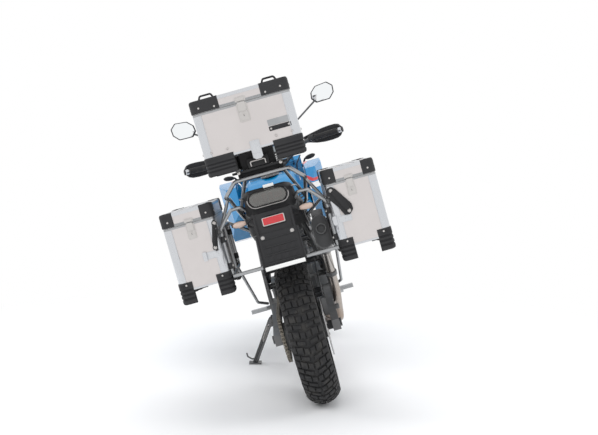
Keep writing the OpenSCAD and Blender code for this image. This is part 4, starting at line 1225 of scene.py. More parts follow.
# %% Mudguard and plate holder
upper, lower = frame_at((0, -312.5, 855), 19.65), frame_at((0, -338.5, 742), 9.88)
guard = Shape("rear_mudguard_moulded", "black_plastic", "zinc_steel", "red_reflector", "white_paint",
              "dark_steel")
skin = [(-292, 890), (-300, 888), (-325, 820), (-351, 666), (-343, 664), (-317, 820)]
guard.prism(rounded(skin, 4), "x", -78, 78, 3.0)
for side in (1, -1):
    flange = [(-270, 882), (-300, 892), (-331, 820), (-356, 668), (-343, 664), (-310, 812), (-262, 850)]
    guard.prism(rounded(flange, 5), "x", side * 70, side * 80, 2.5)
guard.place = upper
guard.prism(plate(-46, -23, 46, 13, 5), "y", -3, -9.5, 2, 1)
guard.prism(plate(-42, -19.5, 42, 9.5, 4), "y", -8, -13.5, 1.6, 2)
guard.prism(rounded([(-30, 18), (30, 18), (22, 30), (-22, 30)], 4), "y", 2, -6, 2)
guard.place = lower
guard.prism(plate(-86, -68, 86, 66, 8), "y", -1.0, -5.0, 1.2, 0)
for x in (-86, 86):
    guard.box((x - 3, -8.5, -68), (x + 3, -1, 66), 1.2, 0)
for z in (-52, -20, 12, 44):
    guard.box((-70, -8, z - 2), (70, -3.5, z + 2), 1.4, 0)
for x in (-48, -16, 16, 48):
    guard.prism(plate(x - 9, -46, x + 9, -26, 3), "y", -4, -7, 1, 0)
    guard.prism(plate(x - 9, -14, x + 9, 6, 3), "y", -4, -7, 1, 0)
guard.prism(plate(-84, -82, 84, -62, 2.5), "y", -4.2, -9.0, 1.2, 0)
guard.prism(plate(-81, -80, 81, -64, 2), "y", -8.4, -10.2, 0.6, 3)
for x in (-60, 60):
    guard.turned([(3.1, 0), (9, 0), (9, 1.4), (3.1, 1.4)], (x, -5, 52), (0, -1, 0), 24, 4, closed=True)
    guard.bolt((x, -6.2, 52), (0, -1, 0), 9.5, 5, 1)
make(guard, "chassis", ["rear_mudguard", "plate_holder"], "black_plastic")

# %% Indicators
def teardrop(shape, a, b, d, back):
    """A long rounded body from a to b, moved back (rearwards) a little."""
    a, b = Vector(a) + Vector((0, back, 0)), Vector(b) + Vector((0, back, 0))
    along = (b - a).length
    profile = [(0, 0), (d * 0.22, along * 0.02), (d * 0.36, along * 0.1), (d * 0.47, along * 0.3),
               (d * 0.5, along * 0.55),
               (d * 0.44, along * 0.8), (d * 0.28, along * 0.95), (d * 0.12, along * 0.99), (0, along)]
    shape.turned(profile, a, b - a, 28)


signal = Shape("turn_signals", "black_plastic", "zinc_steel")
lenses = Shape("turn_signal_lenses", "amber_lens")


def signals():
    for stalk, start, end, back in (((79, -262, 884), (104, -256, 867), (172, -252, 866), -1),
                                    ((188, 1335, 1010), (214, 1290, 1052), (274, 1270, 1060), 1)):
        signal.tube([stalk, start, end], 11, 12, 0, 12)
        if back < 0:
            signal.turned([(0, 0), (8, 0), (9, 2), (9, 7), (7, 9), (0, 9)], start,
                          Vector(end) - Vector(start), 20)
        teardrop(signal, Vector(start) + Vector((2, 0, 0)), end, 27, -2.5 * back)
        teardrop(lenses, Vector(start) + Vector((7, 0, 0)), Vector(end) - Vector((4, 0, 0)), 25, 4 * back)


for side in (1, -1):
    signal.place = lenses.place = Matrix.Diagonal((side, 1, 1, 1))
    signals()
make(signal, "chassis", ["indicators"], "black_plastic")
make(lenses, "chassis", slot="amber_lens")

# %% [markdown]
# ## Luggage rack
# The rack is bent round tube. Each tube follows a path with real bend radii. Collars mark where
# the side cases clamp on, and a black eared bracket holds each case's inner edge.

# %% Rack tubes and brackets
HOOP = 223.48
rack = Shape("rack_tubes", "rack_steel", "black_plastic", "zinc_steel", "dark_steel")


def rack_side():
    hoop = [(HOOP, -222, 868), (HOOP, -222, 668), (HOOP, 160, 668), (HOOP, 160, 868)]
    rack.tube(hoop, 16, 26, 0, 18, closed=True)
    rack.tube([(98, -188, 905), (120, -222, 932), (162, -222, 930), (HOOP - 2, -222, 868),
               (HOOP, -222, 846)], 14.5, 16, 0)
    rack.tube([(HOOP, -30, 668), (HOOP, -30, 868)], 15.5)
    rack.tube([(HOOP, 60, 668), (213, 480, 430), (172, 545, 402)], 14, 30)
    rack.tube([(HOOP, 160, 868), (112, 172, 786)], 15)
    rack.tube([(166, -150, 975), (HOOP, -150, 868)], 14)
    rack.tube([(80, -246, 1037), (80, 90, 1053), (152, 150, 890)], 15.6, 40)
    for z in (712, 824):
        rack.rod((HOOP, -222, z - 13), (HOOP, -222, z + 13), 20, 2, 1)
        rack.rod((HOOP, 160, z - 13), (HOOP, 160, z + 13), 20, 2, 1)
        rack.bolt((HOOP - 9, -222, z), (-1, 0, 0), 9, 5, 2)


rack.mirrored(rack_side)


def case_bracket(side, reach):
    """A black plate with two eared bolts that holds the inner rear edge of a side case."""
    def put(x, z):
        return side * (226 + (x - 226) * reach), z
    plate = [(226, 878), (236, 912), (256, 916), (272, 900), (318, 830), (320, 806), (302, 788), (280, 792),
             (262, 830)]
    rack.prism(rounded([put(*p) for p in plate], 9), "y", -262.5, -258.4, 1.4, 1)
    grip = [(246, 894), (266, 902), (300, 842), (306, 812), (292, 806), (272, 838)]
    rack.prism(rounded([put(*p) for p in grip], 6), "y", -270, -262, 2.5, 1)
    rack.tube([(side * HOOP, -222, 852), (side * 232, -248, 866), (side * 238, -259, 880)], 13, 10, 3)
    for x, z in ((250, 900), (302, 804)):
        u, v = put(x, z)
        rack.turned([(0, 0), (11, 0), (11, 3), (8.5, 4.5), (0, 4.5)], (u, -262, v), (0, -1, 0), 24, 1)
        rack.bolt((u, -266, v), (0, -1, 0), 10, 6, 2)


case_bracket(1, 1.0)
case_bracket(-1, 0.42)
arch = [(124, 214, 820), (152, 180, 880), (166, -60, 968), (166, -240, 984), (113, -246, 1037)]
whole = arch + [(-x, y, z) for x, y, z in arch[::-1]]
rack.tube(whole, 16, 26, 0, 18)
rack.tube([(-HOOP, -222, 668), (HOOP, -222, 668)], 15.6)
make(rack, "chassis", ["luggage_rack"], "rack_steel")
holder = Shape("rack_plate_parts", "dark_steel", "zinc_steel", "black_plastic")
for x in (-92, -52, 52, 92):
    for y in (-205, -120, -30):
        holder.bolt((x, y, 1072), (0, 0, 1), 9, 5, 1)
for x in (-88, 88):
    holder.box((x - 12, -240, 1073), (x + 12, -150, 1082), 2, 0)
    holder.rod((x, -243, 1066), (x, -236, 1066), 14, 1.2, 1)
holder.box((-44, -236, 1074), (44, -213, 1112), 4, 2)
holder.tube([(-30, -240, 1080), (-30, -250, 1098), (30, -250, 1098), (30, -240, 1080)], 6, 6, 1, 12)
make(holder, "chassis", slot="dark_steel")

# %% [markdown]
# ## Exhaust and shock absorber
# The silencer is a flattened drum with an end cap, an outlet and straps. The shock's spring is a
# real coil.

# %% Silencer and pipes
can = Shape("silencer_drum", "silencer_black", "zinc_steel", "dark_steel", "rack_steel",
            place=frame_at((175, -118, 738), 10.04))
drum = [(v, u) for u, v in stadium(149, 73)]
can.prism(drum, "y", 6, 424, 10, 0, 4)
cap = [(v, u) for u, v in stadium(150, 74)]
can.prism(cap, "y", 0, 24, 7, 2, 4)
can.prism(cap, "y", 396, 410, 3, 2)
for y in (120, 300):
    can.prism([(u * 1.005, v * 1.003) for u, v in cap], "y", y, y + 16, 2, 2)
tip = [(22, -15), (22, 2), (17.5, 2), (17, -12), (18, -14.5), (20.5, -15.8)]
can.turned(tip, (0, 0, 12), (0, 1, 0), 40, 2, closed=True)
can.turned([(0, 0), (17.5, 0), (17.5, 1), (0, 1)], (0, 1.5, 12), (0, 1, 0), 30, 2)
can.box((-25, 20, 70), (25, 80, 98), 5, 0, 3)
can.box((-19, 26, 97), (19, 74, 100), 1.2, 2)
shield = rounded([(70, -64), (250, -64), (262, -30), (250, 30), (90, 30), (66, -20)], 12)
can.prism(shield, "x", 36.5, 40.0, 1.2, 3)
for k in range(6):
    y = 100 + 24 * k
    can.prism(rounded([(y, -46), (y + 10, -46), (y + 18, 14), (y + 8, 14)], 4), "x", 39.5, 41.6, 0.8, 2)
for y, z in ((84, 12), (236, 12), (90, -50), (244, -50)):
    can.bolt((40, y, z), (1, 0, 0), 8, 4, 1)
make(can, "chassis", ["silencer"], "silencer_black")
pipes = Shape("exhaust_pipes", "exhaust_steel", "dark_steel")
left = [(-45, 1035, 590), (-58, 1084, 520), (-58, 1080, 300), (0, 1000, 222), (60, 920, 222)]
right = [(45, 1035, 590), (58, 1084, 520), (58, 1078, 304), (68, 1000, 224), (122, 720, 222),
         (158, 480, 250),
         (174, 384, 400), (175, 290, 650)]
pipes.tube(left, 41, 46, 0, 24)
pipes.tube(right, 41.5, 60, 0, 24)
for path in (left, right):
    way = (Vector(path[1]) - Vector(path[0])).normalized()
    pipes.turned([(20, 0), (30, 0), (31, 1), (31, 8), (30, 9), (20, 9)], Vector(path[0]) + way * 4, way, 30,
                 1, closed=True)
way = Vector((1, -94, 250)).normalized()
pipes.turned([(20, 0), (25, 0), (25.6, 1), (25.6, 20), (25, 21), (20, 21)], Vector((174.6, 352, 485)), way,
             30, 1, closed=True)
make(pipes, "chassis", ["exhaust_header"], "exhaust_steel")

# %% Shock absorber
def coil(shape, a, b, d, wire, turns, finish):
    """A round-wire spring from a to b."""
    a, b = Vector(a), Vector(b)
    way = (b - a).normalized()
    side = way.orthogonal().normalized()
    other = way.cross(side)
    steps = int(turns * 20)
    path = []
    for k in range(steps + 1):
        t = 2 * math.pi * turns * k / steps
        path.append(a + (b - a) * (k / steps) + (side * math.cos(t) + other * math.sin(t)) * (d - wire) / 2)
    rings = []
    turns_round = np.linspace(0, 2 * math.pi, 11)[:-1]
    for i, p in enumerate(path):
        ahead = path[min(i + 1, steps)] - path[max(i - 1, 0)]
        out = (p - a - way * (p - a).dot(way)).normalized()
        up = ahead.normalized().cross(out)
        rings.append([p + (out * math.cos(s) + up * math.sin(s)) * wire / 2 for s in turns_round])
    shape.rings(rings, finish)


low, high = Vector((0, 446, 424)), Vector((0, 612, 640))
way = (high - low).normalized()
shock = Shape("shock_parts", "dark_steel", "spring_steel", "zinc_steel")
shock.rod(low, low + way * 120, 44, 2, 0)
shock.rod(low + way * 110, high, 18, 1, 2)
shock.turned([(8, 0), (36, 0), (37, 2), (37, 8), (30, 12), (8, 12)], low + way * 44, way, 40, 0, closed=True)
shock.turned([(8, 0), (30, 0), (36, 4), (36, 12), (8, 14)], high - way * 44, way, 40, 0, closed=True)
coil(shock, low + way * 58, high - way * 46, 70, 11, 7, 1)
shock.rod(low + Vector((-22, 0, 0)), low + Vector((22, 0, 0)), 30, 2, 0)
shock.rod(high + Vector((-22, 0, 0)), high + Vector((22, 0, 0)), 30, 2, 0)
shock.rod(low + way * 20 + Vector((30, 0, 0)), low + way * 130 + Vector((30, 0, 0)), 30, 4, 2)
make(shock, "chassis", ["shock_absorber"], "dark_steel")

# %% [markdown]
# ## Seat, tank and bodywork
# The seat pad is inflated as cloth over a fixed pan, then gets its seams and piping. The tank is a
# skin through rounded sections. The stripes lie in the paint itself.

# %% Striped paint
def striped_paint():
    m = Finish("blue_bodywork")
    peel = m.noise(3.5, 2)
    dust = m.noise(80, 5).step(0.55, 0.8)
    base = m.noise(260, 2).step(0.3, 0.7).pick((0.0, 0.195, 0.45), (0.0, 0.225, 0.50))
    run = m.z * 0.9 - m.y * 0.42 + abs(m.x) * 0.5
    outer = m.x.step(150, 152) + m.x.step(-150, -152) * m.y.step(930, 932)
    white_middle, white_half, red_middle, red_half = 590, 13, 616, 7
    white = (abs(run - white_middle) < white_half) * outer
    red = (abs(run - red_middle) < red_half) * outer
    tint = red.pick(white.pick(base, (0.8, 0.8, 0.79)), (0.55, 0.02, 0.03))
    return m.surface(tint, 0.26 + dust * 0.1, 0.0, m.bump(peel, 0.02, 0.3),
                     **{"Coat Weight": 0.8, "Coat Roughness": 0.06})


FINISH["blue_bodywork"] = striped_paint()


def between(table, y):
    """Reads a table of (y, value) at y."""
    return float(np.interp(y, [p[0] for p in table], [p[1] for p in table]))


# %% Fuel tank
top_line = [(706, 846), (735, 880), (800, 958), (840, 988), (880, 1006), (960, 1015), (1050, 1000),
            (1056, 985)]
bottom_line = [(706, 752), (1000, 815), (1056, 830)]
width_line = [(706, 92), (770, 150), (810, 176), (860, 189), (1056, 189)]
tank = Shape("fuel_tank_skin", "blue_bodywork", "black_plastic", "zinc_steel", "dark_steel")
sections = []
for y in list(np.linspace(707, 1040, 30)) + [1048, 1053, 1055.5]:
    half, low, top = between(width_line, y), between(bottom_line, y), between(top_line, y)
    pinch = 1.0 if y < 1045 else (0.985 if y < 1050 else (0.96 if y < 1055 else 0.92))
    shoulder = min(930, low + (top - low) * 0.6)
    crown = min(125, half * 0.7)
    ring = [(-half, low), (half, low), (half, shoulder), (crown, top), (-crown, top), (-half, shoulder)]
    mid = (low + top) / 2
    ring = [(u * pinch, mid + (v - mid) * pinch) for u, v in ring]
    sections.append([(u, y, v) for u, v in rounded(ring, min(34, (top - low) * 0.2), 6)])
tank.rings(sections, 0)
tank.turned([(0, 0), (50, 0), (50, 5), (47, 8), (44, 8), (43, 11), (20, 13), (0, 13)], (0, 905, 1008),
            (0, 0, 1), 40, 3)
for k in range(6):
    t = 2 * math.pi * k / 6
    tank.bolt((46.5 * math.cos(t), 905 + 46.5 * math.sin(t), 1014.5), (0, 0, 1), 6, 2.4, 2)
tank.turned([(0, 0), (15, 0), (15, 2.5), (0, 3)], (0, 905, 1020), (0, 0, 1), 30, 2)
tank.prism(rounded([(-34, 735), (34, 735), (46, 800), (40, 852), (-40, 852), (-46, 800)], 10), "z", 900, 902,
           0.4, 1)
for side in (1, -1):
    for k in range(5):
        line = [(side * (between(width_line, y) + 1.5), y, 812 + 16 * k + (y - 745) * 0.22)
                for y in (742, 790, 842)]
        tank.tube(line, 6, 20, 1, 8, flat=0.5)
make(tank, "chassis", ["fuel_tank"], "blue_bodywork")

# %% Seat pad
seat_top = [(-30, 903), (-18, 914), (0, 922), (290, 922), (330, 914), (350, 894), (372, 856), (430, 834),
            (560, 828), (660, 841),
            (706, 845)]
seat_low = [(-30, 868), (60, 836), (340, 756), (660, 762), (705.5, 800)]
seat_half = [(-30, 108), (0, 124), (200, 142), (340, 150), (480, 150), (600, 122), (705.5, 92)]
pad = Shape("seat_pad", "seat_cover")
sections = []
for y in np.linspace(-22, 698, 42):
    half, low, top = between(seat_half, y) - 7, between(seat_low, y) + 20, between(seat_top, y) - 7
    edge = min(y + 22, 698 - y)
    half -= max(0, 10 - edge * 0.5)
    top -= max(0, 8 - edge * 0.4)
    ring = [(-half, low), (half, low), (half * 0.97, top - (top - low) * 0.3), (half * 0.8, top),
            (-half * 0.8, top),
            (-half * 0.97, top - (top - low) * 0.3)]
    sections.append([(u, y, v) for u, v in rounded(ring, min(14, (top - low) * 0.25), 4)])
pad.rings(sections, 0)


def swell(piece, voxel, cap, hold):
    """Inflates the piece as cloth. hold(point) is true where it sits on something hard."""
    remesh = piece.modifiers.new("even", "REMESH")
    remesh.mode = "VOXEL"
    remesh.voxel_size = voxel
    bake(piece)
    start = [v.co.copy() for v in piece.data.vertices]
    fixed = piece.vertex_groups.new(name="fixed")
    fixed.add([i for i, p in enumerate(start) if hold(p)], 1.0, "REPLACE")
    cloth = piece.modifiers.new("swell", "CLOTH")
    cloth.settings.vertex_group_mass = "fixed"
    cloth.settings.quality = 4
    cloth.settings.use_pressure = True
    cloth.settings.uniform_pressure_force = 4
    cloth.settings.effector_weights.gravity = 0
    for number in range(1, 21):
        bpy.context.scene.frame_set(number)
    bake(piece)
    bpy.context.scene.frame_set(1)
    farthest = 0
    for vertex, before in zip(piece.data.vertices, start):
        move = vertex.co - before
        if move.length > cap:
            vertex.co = before + move * (cap / move.length)
        farthest = max(farthest, (vertex.co - before).length)
    piece.vertex_groups.clear()
    finer = piece.modifiers.new("finer", "SUBSURF")
    finer.levels = finer.render_levels = 1
    bake(piece)
    soften(piece.data, 80)
    print(piece.name, "swelled by up to", round(farthest * 1000, 1), "mm,", len(piece.data.polygons),
          "faces")


def on_pan(point):
    place = TO_BIKE @ point
    return place.z < between(seat_low, place.y) + 24


TO_BIKE = TO_ROW.inverted()
cushion = make(pad, "chassis", ["seat"], "seat_cover")
VOXEL, FARTHEST = 0.006, 0.007
swell(cushion, VOXEL, FARTHEST, on_pan)
pan = Shape("seat_pan_and_piping", "black_plastic", "seat_cover", "tyre_rubber")
sections = []
for y in np.linspace(-29, 704, 30):
    half, low = between(seat_half, y) - 3, between(seat_low, y)
    sections.append([(u, y, v) for u, v in plate(-half, low + 2, half, low + 22, 6, 3)])
pan.rings(sections, 0)
for side in (1, -1):
    line = [(side * (between(seat_half, y) * 0.84), y, between(seat_top, y) - 5.5)
            for y in np.linspace(-10, 690, 30)]
    pan.tube(line, 4.5, 8, 1, 8)
    line = [(side * (between(seat_half, y) - 1.5), y, between(seat_low, y) + 22)
            for y in np.linspace(-20, 690, 24)]
    pan.tube(line, 5, 8, 1, 8)
for y in (70, 150, 230, 440, 520, 600):
    line = [(u * between(seat_half, y) * 0.82, y,
             between(seat_top, y) - 2.2 - abs(u) * 3) for u in np.linspace(-1, 1, 9)]
    pan.tube(line, 2.6, 8, 1, 6)
make(pan, "chassis", slot="black_plastic")

# %% Headlight and instruments
lamp = Shape("headlight_parts", "black_plastic", "bright_aluminium", "gloss_black", "zinc_steel")
outline = rounded([(-104, 934), (-92, 979), (92, 979), (104, 934), (84, 882), (-84, 882)], 16, 5)
lamp.prism(outline, "y", 1388, 1470, 5, 0)
make(lamp, "chassis", slot="black_plastic")
dash = Shape("instrument_housing", "black_plastic", "gloss_black", "white_paint", "zinc_steel")
side = rounded([(1236, 1070), (1320, 1010), (1320, 1060), (1290, 1120), (1262, 1138)], 6)
dash.prism(side, "x", -87, 87, 4)
a, b = Vector((0, 1236, 1070)), Vector((0, 1262, 1138))
up = (b - a).normalized()
out = Vector((0, -up.z, up.y))
panel = Matrix((( 1, 0, 0, 0), (0, up.y, out.y, (a.y + b.y) / 2), (0, up.z, out.z, (a.z + b.z) / 2),
                (0, 0, 0, 1)))
dash.place = panel
dash.prism(rounded([(-80, -30), (80, -30), (74, 28), (-74, 28)], 8), "z", -3, 1.5, 1, 1)
for k in range(9):
    t = math.radians(210 - 30 * k)
    spot = Vector((-40 + 22 * math.cos(t), 22 * math.sin(t)))
    tick = [(spot.x + u, spot.y + v) for u, v in ((-1, -2), (1, -2), (1, 2), (-1, 2))]
    dash.prism(tick, "z", 1.2, 2.0, 0, 2)
for k in range(4):
    dash.prism(plate(10, 14 - 12 * k, 62, 18 - 12 * k, 1), "z", 1.2, 2.0, 0, 2)
for x in (-84, 84):
    dash.bolt((x * 0.98, 0, -1), (0, 0, 1), 7, 3, 3)
make(dash, "chassis", ["instruments"], "black_plastic")

# %% [markdown]
# ## Steering parts
# All of these turn with the bars, so they ride on the steering body. The fork is drawn in its own
# frame: across, along the fork's offset and up the fork. The rest is drawn as the bike stands.

# %% Fork and clamps
STEER = Matrix(((1, 0, 0, 0), (0, math.cos(CASTER), -math.sin(CASTER), 1625),
                (0, math.sin(CASTER), math.cos(CASTER), 0), (0, 0, 0, 1)))
LEG_X, LEG_U = 105, 32
fork = Shape("fork_legs", "bright_aluminium", "dark_steel", "black_plastic", "zinc_steel", place=STEER)


def fork_side():
    tube = [(0, 640), (22, 640), (22, 1077), (20, 1080), (12, 1080), (11, 1084), (0, 1084)]
    fork.turned(tube, (LEG_X, LEG_U, 0), (0, 0, 1), 40, 0)
    leg = [(0, 326), (24, 326), (27, 330), (27, 560), (25, 566), (25, 640), (27, 644), (27, 668), (25, 674),
           (20, 674)]
    fork.turned(leg, (LEG_X, LEG_U, 0), (0, 0, 1), 40, 1)
    collar = [(22, 674), (26.5, 674), (26.5, 682), (24, 686), (22, 686)]
    fork.turned(collar, (LEG_X, LEG_U, 0), (0, 0, 1), 40, 2, closed=True)
    fork.bolt((LEG_X, LEG_U, 1082), (0, 0, 1), 26, 5, 3)


fork.mirrored(fork_side)
make(fork, "steering", ["fork"], "dark_steel")

# %% Handlebar, grips, levers and guards
bar = Shape("handlebar_parts", "dark_steel", "black_plastic", "zinc_steel", "tyre_rubber",
            "bright_aluminium")
path = [(0, 1125.8, 1030.4), (60, 1125.8, 1030.4), (196, 1084, 1128), (262, 1056, 1148), (428, 1000, 1152)]
whole = [(-x, y, z) for x, y, z in path[:0:-1]] + path[1:]
bar.tube(whole, 21.6, 45, 0, 20)


def bar_side():
    a, b = Vector(path[3]), Vector(path[4])
    way = (b - a).normalized()
    length = (b - a).length
    ridges = [(11, length * 0.2), (18.5, length * 0.2), (20, length * 0.215), (20, length * 0.235),
              (16.2, length * 0.25)]
    spans = np.linspace(length * 0.26, length * 0.94, 23)
    for i, h in enumerate(spans):
        ridges.append((16.6 if i % 2 else 15.4, h))
    ridges += [(16.6, length * 0.95), (16.6, length * 0.96), (11, length * 0.96)]
    bar.turned(ridges, a, way, 30, 3, closed=True)
    bar.turned([(0, 0), (13, 0), (14.5, 2), (14.5, 16), (12.5, 19), (0, 19)], b - way * 2, way, 30, 4)
    bar.turned([(11, 0), (19, 0), (20, 2), (20, length * 0.16), (18, length * 0.17), (11, length * 0.17)], a,
               way, 30, 1,
               closed=True)
    start = a + Vector((4, 22, 2))
    bar.box(start + Vector((-14, -14, -12)), start + Vector((14, 12, 12)), 4, 1)
    bar.tube([start, start + Vector((40, 22, -2)), start + Vector((100, 14, -4)), b + Vector((-26, 52, -4))],
             11, 30, 0, 12,
             flat=0.75)
    for k, up in enumerate((8, -8)):
        bar.box(a + Vector((4, -21, up - 4)), a + Vector((20, -16, up + 4)), 1.5, 2 if k else 1)


bar.mirrored(bar_side)
make(bar, "steering", ["handlebar", "hand_controls"], "black_plastic")
guard = Shape("hand_guard_shells", "black_plastic", "gloss_black", "zinc_steel")


def guard_side():
    spine = ((236, 1096, 1134, 1170), (262, 1108, 1130, 1176), (302, 1117, 1118, 1184),
             (346, 1111, 1112, 1192),
             (388, 1095, 1111, 1195), (420, 1066, 1114, 1194), (438, 1044, 1122, 1188), (444, 1018, 1132,
                                                                                         1178),
             (445, 994, 1138, 1172))
    shell = []
    for k, (x, y, low, high) in enumerate(spine):
        before, after = spine[max(k - 1, 0)], spine[min(k + 1, len(spine) - 1)]
        way = Vector((after[0] - before[0], after[1] - before[1])).normalized()
        side = Vector((way.y, -way.x)) * 7
        side = side if side.y < 0 or side.x < 0 else -side
        crown = Vector((x, y)) - side * 0.6
        inner = Vector((x, y)) + side
        mid = (low + high) / 2
        ring = [(inner, low + 3), (Vector((x, y)), low), (crown, mid - 12), (crown, mid + 12),
                (Vector((x, y)), high),
                (inner, high - 3), (inner - side * 0.5, mid)]
        shell.append([(p.x, p.y, z) for p, z in ring])
    guard.rings(shell, 0)
    for share in (0.14, 0.38, 0.62, 0.86):
        line = [(x + (1.5 if k > 5 else 0), y + (2.6 if k < 6 else 0), low + (high - low) * share)
                for k, (x, y, low, high) in enumerate(spine)]
        guard.tube(line, 6, 12, 1, 8)
    guard.turned([(0, 0), (13, 0), (14.5, 2), (14.5, 12), (0, 12)], (440, 1000, 1152), (1, -0.34, 0), 24, 0)
    guard.bolt((446, 1000, 1152), (1, -0.1, 0), 11, 5, 2)
    guard.bolt((300, 1121, 1137), (0, 1, 0), 8, 2.4, 2)
    guard.bolt((300, 1121, 1173), (0, 1, 0), 8, 2.4, 2)


guard.mirrored(guard_side)
make(guard, "steering", ["hand_guards"], "black_plastic")

# %% Mirrors
MIRROR = Vector((395, 1378))
mirror = Shape("mirror_parts", "mirror_case", "mirror_glass", "dark_steel", "zinc_steel")


def mirror_side():
    shell = [(-67, -22), (-44, -49), (34, -47), (64, -16), (67, 22), (38, 49), (-30, 42), (-62, 12)]
    shell = rounded([(MIRROR.x + u, MIRROR.y + v) for u, v in shell], 9, 4)
    mid = MIRROR
    rings = []
    for k, y in ((0.955, 1009.5), (0.985, 1010.5), (1.0, 1014), (1.0, 1019), (0.95, 1026), (0.78, 1031),
                 (0.45, 1033)):
        rings.append([(mid.x + (u - mid.x) * k, y, mid.y + (v - mid.y) * k) for u, v in shell])
    mirror.rings(rings, 0)
    face = [[(mid.x + (u - mid.x) * k, y, mid.y + (v - mid.y) * k) for u, v in shell] for k, y in
            ((0.9, 1009.6), (0.9, 1009.0), (0.87, 1008.4))]
    mirror.rings(face, 1)
    mirror.tube([(216, 1090, 1140), (214, 1072, 1262), (355, 1026, 1350), (388, 1024, 1370)], 10, 30, 2, 14)
    mirror.box((205, 1061, 1117), (227, 1095, 1155), 4, 2)
    mirror.turned([(0, 0), (9, 0), (9.5, 1), (9.5, 14), (8, 16), (0, 16)], (215.6, 1086, 1154),
                  (0, -0.05, 1), 6, 3)
    mirror.turned([(0, 0), (12, 0), (13, 2), (10, 12), (0, 14)], (372, 1025, 1360), (0.75, 0, 0.6), 20, 0)


mirror.mirrored(mirror_side)
make(mirror, "steering", ["mirrors"], "mirror_case")

# %% Front mudguard
fender = Shape("front_mudguard_skin", "black_plastic", "zinc_steel")
hub = Vector((0, 1520, 331.3))


def arch_point(x, r, degrees):
    t = math.radians(degrees)
    return Vector((x, hub.y + r * math.cos(t), hub.z + r * math.sin(t)))


profile = [(-66, 303), (-66, 330), (-56, 343), (-30, 349), (0, 350.5), (30, 349), (56, 343), (66, 330),
           (66, 303), (61, 303),
           (61, 328), (52, 338), (28, 344), (0, 345), (-28, 344), (-52, 338), (-61, 328), (-61, 303)]
spans = np.linspace(20.6, 154.4, 40)
rings = []
for k, s in enumerate(spans):
    edge = min(k, len(spans) - 1 - k)
    shrink = (0.86, 0.95, 0.985, 1.0)[min(edge, 3)]
    rings.append([arch_point(x * shrink, 303 + (r - 303) * (0.9 if edge == 0 else 1), s) for x,
                  r in profile])
fender.rings(rings, 0)
for s in (48, 92, 128):
    for x in (-62, 62):
        spot = arch_point(x, 322, s)
        fender.bolt(spot + Vector((3.6 if x > 0 else -3.6, 0, 0)), (1 if x > 0 else -1, 0, 0), 8, 2.4, 1)
for x in (1, -1):
    spot = Vector((x * 60, 1366.6, 602.7))
    fender.rod(spot, spot + Vector((x * 19, 0, 0)), 15, 1, 0)
make(fender, "steering", ["front_mudguard"], "black_plastic")

# %% [markdown]
# ## Engine, pegs and side stand
# The engine's castings stay as the construction drew them. Fins, cover bolts and hoses are added.
# The foot pegs have toothed treads. The stand gets its spring and tang.

# %% Engine dressing
dress = Shape("engine_dressing", "engine_casting", "zinc_steel", "black_plastic", "tyre_rubber",
              "dark_steel")
block = Matrix.Translation((0, 870, 500)) @ Matrix.Rotation(math.radians(-18), 4, "X")
dress.place = block
for k in range(7):
    z = 70 + 20 * k
    dress.prism(plate(-95, -101, 95, 101, 12), "z", z, z + 5, 1.2, 0)
dress.place = Matrix()
for centre, x, r, count in (((905, 390), -150, 84, 9), ((800, 400), 152, 97, 10), ((935, 420), 136, 71, 7)):
    way = Vector((1 if x > 0 else -1, 0, 0))
    for k in range(count):
        t = 2 * math.pi * k / count
        spot = Vector((x, centre[0] + r * math.cos(t), centre[1] + r * math.sin(t)))
        dress.bolt(spot - way * 1, way, 10, 6, 1)
    inner = [(r * 0.3, 0), (r * 0.62, 0), (r * 0.64, 2), (r * 0.62, 3.5), (r * 0.3, 3.5)]
    dress.turned(inner, (x - way.x, centre[0], centre[1]), way, 40, 0, closed=True)
for side in (1, -1):
    hose = [(side * 120, 1128, 668), (side * 116, 1080, 672), (side * 96, 1010, 650), (side * 70, 960, 640)]
    dress.tube(hose, 26, 30, 3, 16)
    dress.turned([(12.5, 0), (15, 0), (15, 9), (12.5, 9)], (side * 119, 1116, 669), (side * -0.1, -1, 0.1),
                 20, 1, closed=True)
for k in range(22):
    z = 508 + 8 * k
    dress.box((-150, 1120, z), (150, 1126, z + 1.6), 0, 1)
for y, z in ((700, 205), (900, 196), (1080, 300)):
    for side in (1, -1):
        dress.bolt((side * 114, y, z + 6), (side, 0, 0), 10, 4, 1)
make(dress, "chassis", slot="engine_casting")

# %% Foot pegs
pegs = Shape("foot_peg_parts", "zinc_steel", "dark_steel", "tyre_rubber", "rack_steel")


def peg_side():
    pegs.box((183, 547, 369), (262, 573, 380), 2, 1)
    for k in range(9):
        x = 187 + 8.6 * k
        for y in (547, 570):
            tooth = [(x, 379), (x + 6, 379), (x + 4.4, 386), (x + 1.6, 386)]
            pegs.prism(tooth, "y", y, y + 3, 0, 0)
    for y in (547, 570):
        pegs.box((184, y, 376), (263, y + 3, 381), 0.6, 0)
    pegs.rod((176, 552, 372), (176, 568, 372), 12, 1, 0)


pegs.mirrored(peg_side)
make(pegs, "chassis", slot="zinc_steel")

